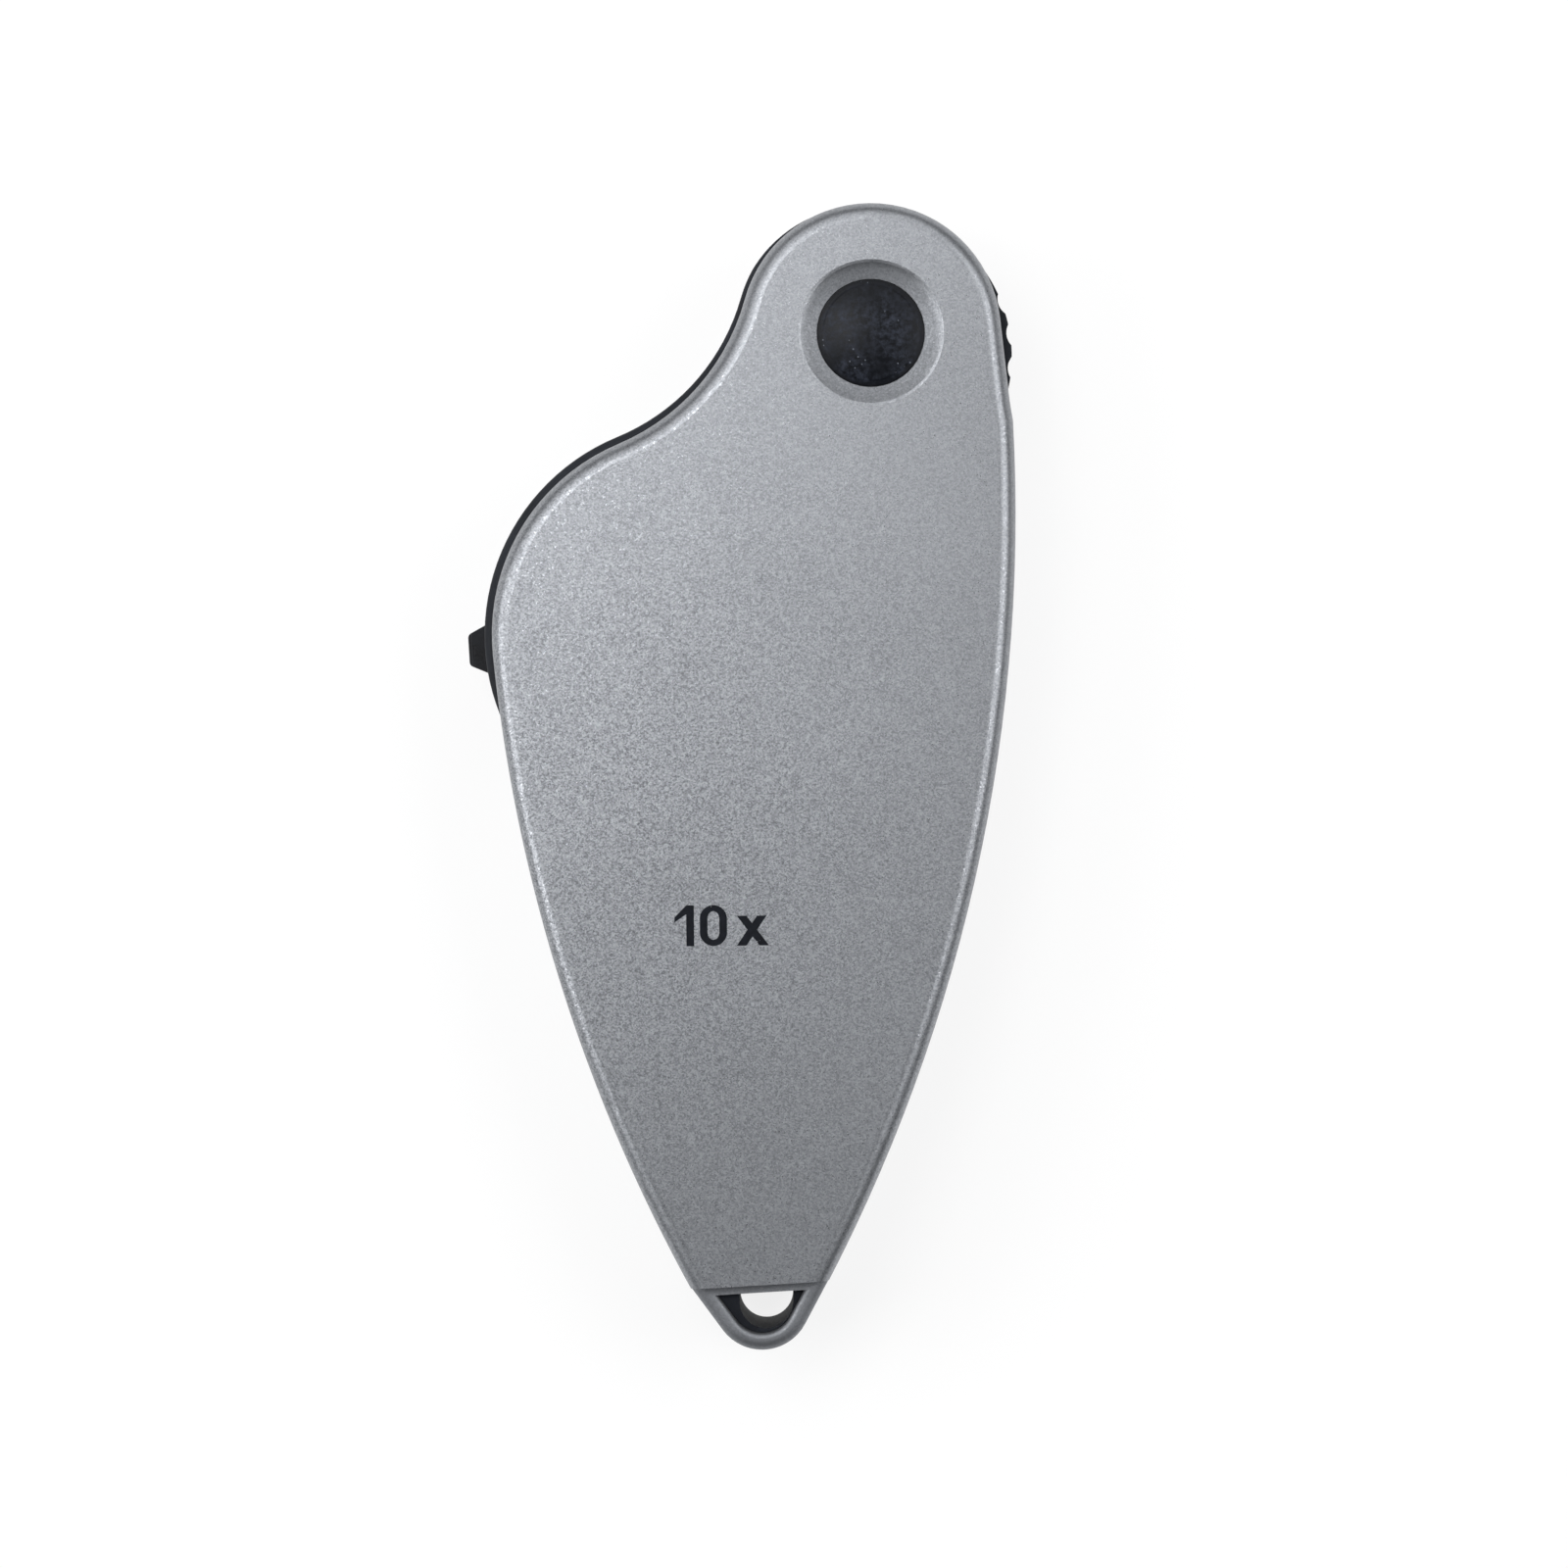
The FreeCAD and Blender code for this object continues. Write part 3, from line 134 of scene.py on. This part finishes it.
class Wire:
    """A node socket that adds, subtracts, multiplies and divides through Math nodes."""

    def __init__(self, paint, socket):
        self.paint = paint
        self.socket = socket

    def _math(self, operation, *values):
        return self.paint.add("Math", {"operation": operation}, dict(enumerate(values)))

    def __add__(self, other):
        return self._math("ADD", self, other)

    def __radd__(self, other):
        return self._math("ADD", other, self)

    def __sub__(self, other):
        return self._math("SUBTRACT", self, other)

    def __rsub__(self, other):
        return self._math("SUBTRACT", other, self)

    def __mul__(self, other):
        return self._math("MULTIPLY", self, other)

    def __rmul__(self, other):
        return self._math("MULTIPLY", other, self)

    def __truediv__(self, other):
        return self._math("DIVIDE", self, other)

    def over(self, edge):
        return self._math("GREATER_THAN", self, edge)

    def under(self, edge):
        return self._math("LESS_THAN", self, edge)

    def sine(self):
        return self._math("SINE", self)

    def clamped(self):
        return self.paint.add("Clamp", {}, {0: self})


class Paint:
    """A material's node tree, filled in from plain calls."""

    def __init__(self, name):
        self.material = bpy.data.materials.new(name)
        self.material.use_nodes = True
        self.tree = self.material.node_tree
        self.tree.nodes.clear()
        self.output = self.tree.nodes.new("ShaderNodeOutputMaterial")

    def add(self, kind, settings, inputs, output=0):
        node = self.tree.nodes.new("ShaderNode" + kind)
        for key, value in settings.items():
            setattr(node, key, value)
        for key, value in inputs.items():
            socket = node.inputs[key]
            if isinstance(value, Wire):
                self.tree.links.new(value.socket, socket)
            elif isinstance(value, tuple) and len(value) == 3 and socket.type == "RGBA":
                socket.default_value = (*value, 1.0)
            else:
                socket.default_value = value
        return Wire(self, node.outputs[output])

    def place(self, scale=(1.0, 1.0, 1.0), shift=(0.0, 0.0, 0.0)):
        spot = self.add("TexCoord", {}, {}, "Object")
        if scale == (1.0, 1.0, 1.0) and shift == (0.0, 0.0, 0.0):
            return spot
        return self.add("Mapping", {}, {"Vector": spot, "Location": shift, "Scale": scale})

    def noise(self, scale, detail=2.0, roughness=0.5, vector=None):
        inputs = {"Scale": scale, "Detail": detail, "Roughness": roughness}
        inputs["Vector"] = vector or self.place()
        return self.add("TexNoise", {}, inputs, "Fac")

    def cells(self, scale, output="Distance"):
        inputs = {"Scale": scale, "Vector": self.place()}
        return self.add("TexVoronoi", {"feature": "F1"}, inputs, output)

    def shades(self, scale, channel):
        """An even random value for each cell, from one channel of the cells' colours."""
        return self.add("SeparateColor", {}, {0: self.cells(scale, "Color")}, channel)

    def span(self, value, low, high, to_low=0.0, to_high=1.0):
        inputs = {"Value": value, "From Min": low, "From Max": high}
        inputs.update({"To Min": to_low, "To Max": to_high})
        return self.add("MapRange", {"clamp": True}, inputs)

    def blend(self, share, first, second):
        return self.add("Mix", {"data_type": "RGBA"}, {0: share, 6: first, 7: second}, 2)

    def bump(self, height, distance, strength=1.0, normal=None):
        inputs = {"Height": height, "Distance": distance, "Strength": strength}
        if normal:
            inputs["Normal"] = normal
        return self.add("Bump", {}, inputs)

    def shader(self, **inputs):
        named = {key.replace("_", " "): value for key, value in inputs.items()}
        return self.add("BsdfPrincipled", {}, named)

    def reach(self, x, y, z=None):
        """Distance from a point, or from an upright line where no height is given."""
        if z is None:
            spot = self.place((1.0, 1.0, 0.0), (-x, -y, 0.0))
        else:
            spot = self.place((1.0, 1.0, 1.0), (-x, -y, -z))
        return self.add("VectorMath", {"operation": "LENGTH"}, {0: spot}, "Value")

    def rise(self):
        """Height over or under the plane where the two mouldings meet."""
        height = self.add("SeparateXYZ", {}, {0: self.place()}, 2) - MID_Z
        return self.add("Math", {"operation": "ABSOLUTE"}, {0: height})

    def parting(self, low, high):
        """0 along the line where the two mouldings meet, 1 beside it."""
        return self.span(self.rise(), low, high)

    def finish(self, surface):
        self.tree.links.new(surface.socket, self.output.inputs["Surface"])
        return self.material


def silver_paint():
    """Paint of fine metal flakes on a lightly grained moulding. It is duller in the recess
    round the cap and on the lug, where a cord rubs; on the lug its colour is also painted
    darker, as shade."""
    paint = Paint("silver_paint")
    grain = paint.noise(6200.0, 2.0, 0.6)
    flake = paint.shades(8400.0, 0)
    fleck = paint.shades(3900.0, 1)
    drift = paint.noise(60.0, 3.0, 0.5)
    strewn = paint.span(paint.reach(*FLAKE_MIDDLE), *FLAKE_BAND, 1.2, 0.5)
    # Mask of the lug round the eye: the paint is rougher there from cord wear, and its colour
    # is painted darker as shade
    lug_wear_and_shade = paint.span(paint.reach(*EYE_MIDDLE), *LUG_WEAR_AND_SHADE_BAND, 1.0, 0.0)
    lug_wear_and_shade = lug_wear_and_shade * paint.rise().under(LUG_RISE)
    sunk = paint.span(paint.reach(*PIVOT), *RECESS_BAND, 1.0, 0.0)
    light = paint.span(grain, *MOST, -0.13, 0.13) + paint.span(flake, 0.0, 1.0, -0.30, 0.30)
    light = (light + paint.span(fleck, 0.0, 1.0, -0.06, 0.06)) * strewn * (1.0 - lug_wear_and_shade * 0.6)
    # Painted shade: the lug's colour is made darker here
    light = light + paint.span(drift, *MOST, -0.03, 0.03) - lug_wear_and_shade * 0.12
    colour = paint.blend((light + 0.5).clamped(), (0.130, 0.135, 0.147), (0.460, 0.476, 0.503))
    sparkle = flake.over(0.955)
    rough = paint.span(grain, *MOST, 0.445, 0.355) - sparkle * 0.12 + lug_wear_and_shade * 0.18 + sunk * 0.23
    joint = paint.parting(*CASE_GROOVE)
    colour = paint.blend(joint, (0.035, 0.037, 0.041), colour)
    groove = paint.bump(joint, GROOVE_DEPTH)
    height = grain * 0.8 + flake * 0.3 + paint.noise(1500.0, 2.0, 0.5) * 0.4
    return paint.finish(paint.shader(
        Base_Color=colour,
        Metallic=0.95,
        Roughness=rough.clamped(),
        Specular_IOR_Level=0.4,
        Normal=paint.bump(height, 0.000006, 0.8, groove),
    ))


def black_plastic(name, joined=False):
    """Black plastic with a fine spark-eroded skin, of one moulding or of two that meet."""
    paint = Paint(name)
    skin = paint.noise(5200.0, 3.0, 0.55)
    rub = paint.noise(240.0, 4.0, 0.6)
    rubbed = paint.span(rub, 0.35, 0.75)
    colour = paint.blend(rubbed, (0.011, 0.0125, 0.0165), (0.021, 0.024, 0.031))
    groove = None
    shine = 0.1
    if joined:
        shine = 0.2
        joint = paint.parting(*CARRIER_GROOVE)
        colour = paint.blend(joint, (0.003, 0.003, 0.004), colour)
        groove = paint.bump(joint, GROOVE_DEPTH)
    return paint.finish(paint.shader(
        Base_Color=colour,
        Roughness=paint.span(skin, *MOST, 0.56, 0.70) + paint.span(rub, 0.4, 0.7, -0.03, 0.03),
        Specular_IOR_Level=shine,
        Normal=paint.bump(skin, 0.000010, 0.6, groove),
    ))


def cap_plastic():
    """Glossier black plastic of the pivot caps, handled and a little dusty, its rim painted
    darker as shade.
    """
    paint = Paint("black_gloss_plastic")
    smear = paint.noise(1900.0, 6.0, 0.72)
    cloud = paint.noise(260.0, 3.0, 0.55)
    skin = paint.noise(2600.0, 2.0, 0.5)
    dust = paint.cells(2100.0)
    speck = dust.under(0.13) * paint.noise(520.0, 2.0, 0.5).over(0.57)
    radius = paint.reach(*PIVOT)
    # Painted shade: the haze is taken off at the cap's rim, so that its edge is darker, as if
    # in the gap's shadow
    rim_shade = paint.span(radius, *CAP_RIM_SHADE_BAND)
    lip = paint.span(radius, *LIP_BAND)
    haze = paint.span(smear, 0.42, 0.66) * (paint.span(cloud, 0.36, 0.64) * 0.9 + 0.15)
    haze = (haze * (1.0 - rim_shade)).clamped()
    colour = paint.blend(haze, (0.0036, 0.0044, 0.0066), (0.0320, 0.0375, 0.0540))
    colour = paint.blend(speck * 0.6, colour, (0.20, 0.22, 0.26))
    height = smear * 0.5 + skin * 0.3 + cloud * 0.6 - lip * 1.6
    return paint.finish(paint.shader(
        Base_Color=colour,
        Roughness=(paint.span(smear, 0.35, 0.7, 0.30, 0.50) + speck * 0.2).clamped(),
        Specular_IOR_Level=0.15,
        Normal=paint.bump(height, 0.000030, 0.6),
    ))


def knob_plastic():
    """Satin black of the switch knob."""
    paint = Paint("knob_plastic")
    skin = paint.noise(3600.0, 2.0, 0.5)
    rub = paint.noise(700.0, 3.0, 0.6)
    rubbed = paint.span(rub, 0.4, 0.7)
    return paint.finish(paint.shader(
        Base_Color=paint.blend(rubbed, (0.0035, 0.0040, 0.0060), (0.0100, 0.0115, 0.0160)),
        Roughness=paint.span(rub, *MOST, 0.24, 0.34),
        Specular_IOR_Level=0.13,
        Normal=paint.bump(skin, 0.000006, 0.5),
    ))


def turned_rings(paint, centre, pitch):
    """Height of the rings that a lathe leaves about an upright axis."""
    return (paint.reach(centre.x, centre.y) * (2.0 * math.pi / pitch)).sine()


def metal(name, dark, light, roughness, grain_scale, grain_height, stretch=(1.0, 1.0, 1.0)):
    """Bare or plated metal with fine grain, faint stains and rubbed places."""
    paint = Paint(name)
    grain = paint.noise(grain_scale, 3.0, 0.55, paint.place(scale=stretch))
    stain = paint.noise(380.0, 4.0, 0.6)
    share = paint.span(stain, *MOST, 0.15, 0.85) + paint.span(grain, *MOST, -0.15, 0.15)
    smooth = roughness - 0.07
    rough = roughness + 0.09
    return paint.finish(paint.shader(
        Base_Color=paint.blend(share.clamped(), dark, light),
        Metallic=1.0,
        Roughness=paint.span(stain * 0.6 + grain * 0.4, 0.35, 0.65, smooth, rough),
        Normal=paint.bump(grain, grain_height, 0.6),
    ))


def anodised(centre):
    """Black anodised aluminium with turned rings."""
    paint = Paint("black_anodised")
    rings = turned_rings(paint, centre, 0.00022)
    tone = paint.span(paint.noise(500.0, 3.0, 0.5), *MOST)
    grain = paint.noise(2400.0, 2.0, 0.5)
    return paint.finish(paint.shader(
        Base_Color=paint.blend(tone, (0.012, 0.012, 0.014), (0.026, 0.026, 0.030)),
        Metallic=0.35,
        Roughness=paint.span(grain, *MOST, 0.30, 0.42),
        Specular_IOR_Level=0.5,
        Normal=paint.bump(rings * 0.6 + grain * 0.3, 0.000010, 0.7),
    ))


def lens_glass():
    """Optical glass with a coating and a trace of dust. The faces where the lenses are
    cemented to one another don't show."""
    paint = Paint("lens_glass")
    low, high = (Vector(corner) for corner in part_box("crown_lens"))
    middle = (low + high) / 2
    rise = (high.z - low.z - CROWN_EDGE) / 2
    curve = (rise ** 2 + (high.x - middle.x) ** 2) / (2 * rise)
    cement = 0.0
    for centre_z in (high.z - curve, low.z + curve):
        reach = paint.reach(middle.x, middle.y, centre_z)
        cement = reach.over(curve - CEMENT_BAND) * reach.under(curve + CEMENT_BAND) + cement
    dust = paint.cells(1300.0)
    speck = dust.under(0.03) * paint.noise(300.0, 2.0, 0.5).over(0.58)
    smear = paint.noise(140.0, 4.0, 0.6)
    return paint.finish(paint.shader(
        Base_Color=(0.95, 0.985, 0.98),
        Roughness=paint.span(smear, 0.5, 0.75, 0.0, 0.035) + speck * 0.3,
        IOR=1.52,
        Transmission_Weight=1.0,
        Specular_Tint=(0.72, 0.62, 1.0),
        Alpha=1.0 - cement.clamped(),
        Normal=paint.bump(smear, 0.0000004, 0.3),
    ))


def lamp_resin():
    """Clear resin of the lamp, a little milky in places."""
    paint = Paint("lamp_resin")
    cloud = paint.noise(900.0, 3.0, 0.5)
    clear = paint.span(cloud, 0.35, 0.7)
    return paint.finish(paint.shader(
        Base_Color=paint.blend(clear, (0.93, 0.92, 0.82), (0.97, 0.97, 0.93)),
        Roughness=paint.span(cloud, *MOST, 0.06, 0.16),
        IOR=1.5,
        Transmission_Weight=0.85,
        Normal=paint.bump(cloud, 0.000003, 0.3),
    ))


def board_green(centre):
    """Solder mask over copper tracks that run round the lens."""
    paint = Paint("board_green")
    track = paint.span(turned_rings(paint, centre, 0.0009), 0.1, 0.35)
    weave = paint.noise(3000.0, 2.0, 0.5)
    colour = paint.blend(track, (0.010, 0.075, 0.030), (0.024, 0.155, 0.060))
    colour = paint.blend(paint.span(weave, 0.35, 0.7) * 0.3, colour, (0.05, 0.20, 0.09))
    return paint.finish(paint.shader(
        Base_Color=colour,
        Roughness=paint.span(weave, *MOST, 0.24, 0.36),
        Coat_Weight=0.3,
        Normal=paint.bump(track * 0.8 + weave * 0.1, 0.000025, 0.8),
    ))


def print_ink():
    """Black pad-printed ink with pinholes that let the paint show."""
    paint = Paint("print_ink")
    pits = paint.cells(2600.0)
    hole = pits.under(0.10) * paint.noise(500.0, 2.0, 0.5).over(0.53)
    skin = paint.noise(2400.0, 3.0, 0.5)
    shade = paint.span(skin, *MOST)
    colour = paint.blend(shade, (0.0030, 0.0038, 0.0065), (0.0080, 0.0095, 0.0145))
    colour = paint.blend(hole * 0.8, colour, (0.30, 0.31, 0.34))
    return paint.finish(paint.shader(
        Base_Color=colour,
        Roughness=paint.span(skin, *MOST, 0.50, 0.62),
        Specular_IOR_Level=0.12,
        Normal=paint.bump(skin - hole * 0.5, 0.000006, 0.6),
    ))


def floor_paper():
    """White paper: all but white to the camera and in reflections, with a faint shadow."""
    paint = Paint("floor_paper")
    fibre = paint.noise(900.0, 3.0, 0.5)
    colour = paint.blend(paint.span(fibre, *MOST), (0.80, 0.80, 0.80), (0.84, 0.84, 0.84))
    paper = paint.add("BsdfDiffuse", {}, {"Color": colour})
    shown = paint.add("BsdfDiffuse", {}, {"Color": (0.20, 0.20, 0.20)})
    glow = paint.add("Emission", {}, {"Color": (1.0, 1.0, 1.0), "Strength": 0.82})
    bright = paint.add("AddShader", {}, {0: shown, 1: glow})
    camera = paint.add("LightPath", {}, {}, "Is Camera Ray")
    glossy = paint.add("LightPath", {}, {}, "Is Glossy Ray")
    through = paint.add("LightPath", {}, {}, "Is Transmission Ray")
    seen = (camera + glossy + through).clamped()
    return paint.finish(paint.add("MixShader", {}, {0: seen, 1: paper, 2: bright}))


def dress():
    """Gives each piece the look of its material slot."""
    ring = (Vector(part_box("lens_cell")[0]) + Vector(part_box("lens_cell")[1])) / 2
    looks = {
        "silver_paint": silver_paint(),
        "black_plastic": black_plastic("black_plastic"),
        "black_gloss_plastic": cap_plastic(),
        "knob_plastic": knob_plastic(),
        "black_anodised": anodised(ring),
        **{name: metal(name, *values) for name, values in METALS.items()},
        "lens_glass": lens_glass(),
        "lamp_resin": lamp_resin(),
        "board_green": board_green(ring),
    }
    slots = {row["node"]: row["material_slot"] for row in frame["record"]["subparts"]}
    carrier_plastic = black_plastic("carrier_plastic", True)
    for name, node in nodes.items():
        node.data.materials.clear()
        halves = name in ("carrier_front", "carrier_rear")
        node.data.materials.append(carrier_plastic if halves else looks[slots[name]])


def pick(piece, kind, test):
    """Selects the vertices or edges of a mesh in edit mode whose middle passes the test."""
    bpy.ops.mesh.select_all(action="DESELECT")
    bpy.ops.mesh.select_mode(type={"vertices": "VERT", "edges": "EDGE"}[kind])
    bpy.ops.object.mode_set(mode="OBJECT")
    mesh = piece.data
    for part in getattr(mesh, kind):
        spots = [part.index] if kind == "vertices" else part.vertices
        middle = sum((mesh.vertices[spot].co for spot in spots), Vector()) / len(spots)
        part.select = test(piece.matrix_world @ middle)
    bpy.ops.object.mode_set(mode="EDIT")


def printed_bar(name, left, foot, width, height, lean=0.0, lift=0.0):
    """An upright or leaning stroke of the print, its foot and head level, in edit mode."""
    deselect()
    middle = (left + width / 2, foot + height / 2, FACE_Z + lift)
    bpy.ops.mesh.primitive_plane_add(size=1.0, location=middle)
    bar = bpy.context.object
    bar.name = name
    bpy.ops.object.mode_set(mode="EDIT")
    bpy.ops.transform.resize(value=(width, height, 1.0), center_override=middle)
    if lean:
        pick(bar, "edges", lambda spot: spot.y > foot + height * 0.9)
        bpy.ops.transform.translate(value=(lean, 0.0, 0.0))
    return bar


def printed_one(left, foot, stroke, height):
    """Stem with a flag that grows out of its head, runs down to the left and tapers."""
    stem = printed_bar("printed_one", left, foot, stroke, height)
    root_share = 0.22
    taper = 0.56
    drop = (-0.00096, -0.00082, 0.0)
    flag_root = foot + height * (1.0 - root_share)
    bpy.ops.mesh.select_all(action="SELECT")
    bpy.ops.mesh.bisect(plane_co=(left, flag_root, FACE_Z), plane_no=(0.0, 1.0, 0.0))
    pick(stem, "edges", lambda spot: spot.x < left + stroke * 0.1 and spot.y > flag_root)
    bpy.ops.mesh.extrude_region_move(TRANSFORM_OT_translate={"value": drop})
    tip = (left + drop[0], flag_root + height * root_share / 2 + drop[1], FACE_Z)
    bpy.ops.transform.resize(value=(1.0, taper, 1.0), center_override=tip)
    bpy.ops.object.mode_set(mode="OBJECT")
    return stem


def printed_nought(left, foot, width, stroke, height):
    """Ring with round ends and straight sides, thinner at its head and foot."""
    deselect()
    middle = (left + width / 2, foot + height / 2, FACE_Z)
    radius = width / 2
    thin = stroke * 0.8
    bpy.ops.mesh.primitive_circle_add(
        vertices=62, radius=radius, fill_type="NGON", location=middle)
    ring = bpy.context.object
    ring.name = "printed_nought"
    bpy.ops.object.mode_set(mode="EDIT")
    bpy.ops.mesh.select_all(action="SELECT")
    bpy.ops.mesh.inset(thickness=thin)
    narrow = (radius - stroke) / (radius - thin)
    bpy.ops.transform.resize(value=(narrow, 1.0, 1.0), center_override=middle)
    bpy.ops.mesh.delete(type="ONLY_FACE")
    for side in (-1, 1):
        pick(ring, "vertices", lambda spot: (spot.y - middle[1]) * side > 0)
        bpy.ops.transform.translate(value=(0.0, side * (height - width) / 2, 0.0))
    bpy.ops.object.mode_set(mode="OBJECT")
    return ring


def power_print():
    """The power of the lens, printed on the face in plain figures."""
    one_left = -0.00554
    nought_left = -0.00444
    nought_width = 0.00222
    rise_left, rise_lean = -0.00144, 0.00167
    fall_left, fall_lean = 0.00042, -0.00184
    cross = (PRINT_FOOT, CROSS_STROKE, CROSS_HEIGHT)
    strokes = [
        printed_one(one_left, PRINT_FOOT, DIGIT_STROKE, DIGIT_HEIGHT),
        printed_nought(nought_left, PRINT_FOOT, nought_width, DIGIT_STROKE, DIGIT_HEIGHT),
    ]
    strokes.append(printed_bar("printed_rise", rise_left, *cross, rise_lean))
    bpy.ops.object.mode_set(mode="OBJECT")
    strokes.append(printed_bar("printed_fall", fall_left, *cross, fall_lean, PRINT_LIFT))
    bpy.ops.object.mode_set(mode="OBJECT")
    deselect()
    for bar in strokes:
        bar.select_set(True)
    bpy.context.view_layer.objects.active = strokes[0]
    bpy.ops.object.join()
    piece = bpy.context.object
    piece.name = "power_print"
    film = piece.modifiers.new("film", "SOLIDIFY")
    film.thickness = PRINT_FILM
    film.offset = 1.0
    bpy.ops.object.modifier_apply(modifier=film.name)
    settle(piece)
    piece.data.materials.clear()
    piece.data.materials.append(print_ink())
    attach(piece, "case")


def stage():
    """The paper that the loupe lies on."""
    deselect()
    bpy.ops.mesh.primitive_plane_add(size=2 * FLOOR_HALF, location=(0.0, 0.0, FLOOR_Z))
    floor = bpy.context.object
    floor.name = "paper_floor"
    floor.data.materials.append(floor_paper())
    settle(floor)


def soft_box(name, middle, width, height, watts):
    """A rectangular light that the camera doesn't see."""
    lamp = bpy.data.lights.new(name, "AREA")
    lamp.shape = "RECTANGLE"
    lamp.size = width
    lamp.size_y = height
    lamp.energy = watts
    holder = bpy.data.objects.new(name, lamp)
    bpy.context.scene.collection.objects.link(holder)
    holder.visible_camera = False
    holder.location = middle
    aim = Vector(LIT_SPOT) - Vector(middle)
    holder.rotation_euler = aim.to_track_quat("-Z", "Y").to_euler()


def lights():
    """Four soft boxes and a dim, even room."""
    soft_box("key_box", middle=(-0.09, 0.06, 0.38), width=0.13, height=0.13, watts=0.37)
    soft_box("left_box", middle=(-0.32, -0.03, 0.23), width=0.29, height=0.29, watts=0.76)
    soft_box("right_box", middle=(0.32, 0.03, 0.36), width=0.35, height=0.35, watts=1.03)
    soft_box("back_box", middle=(-0.05, 0.25, 0.31), width=0.60, height=0.30, watts=0.69)
    world = bpy.data.worlds.new("room")
    world.use_nodes = True
    background = world.node_tree.nodes["Background"]
    background.inputs["Color"].default_value = ROOM_COLOUR
    background.inputs["Strength"].default_value = ROOM_STRENGTH
    bpy.context.scene.world = world


def camera():
    """A camera that looks straight down, turned a little as in the photo."""
    lens = bpy.data.cameras.new("camera")
    lens.sensor_width = SENSOR_WIDTH
    lens.lens = SENSOR_WIDTH * CAMERA_HEIGHT / PICTURE_WIDTH
    lens.clip_start = 0.01
    lens.clip_end = 20.0
    holder = bpy.data.objects.new("camera", lens)
    bpy.context.scene.collection.objects.link(holder)
    holder.location = (CAMERA_X, CAMERA_Y, FACE_Z + CAMERA_HEIGHT)
    holder.rotation_euler = (0.0, 0.0, CAMERA_ROLL)
    bpy.context.scene.camera = holder


camera()
stage()
lights()
dress()
power_print()
bpy.context.scene.view_settings.view_transform = "Standard"
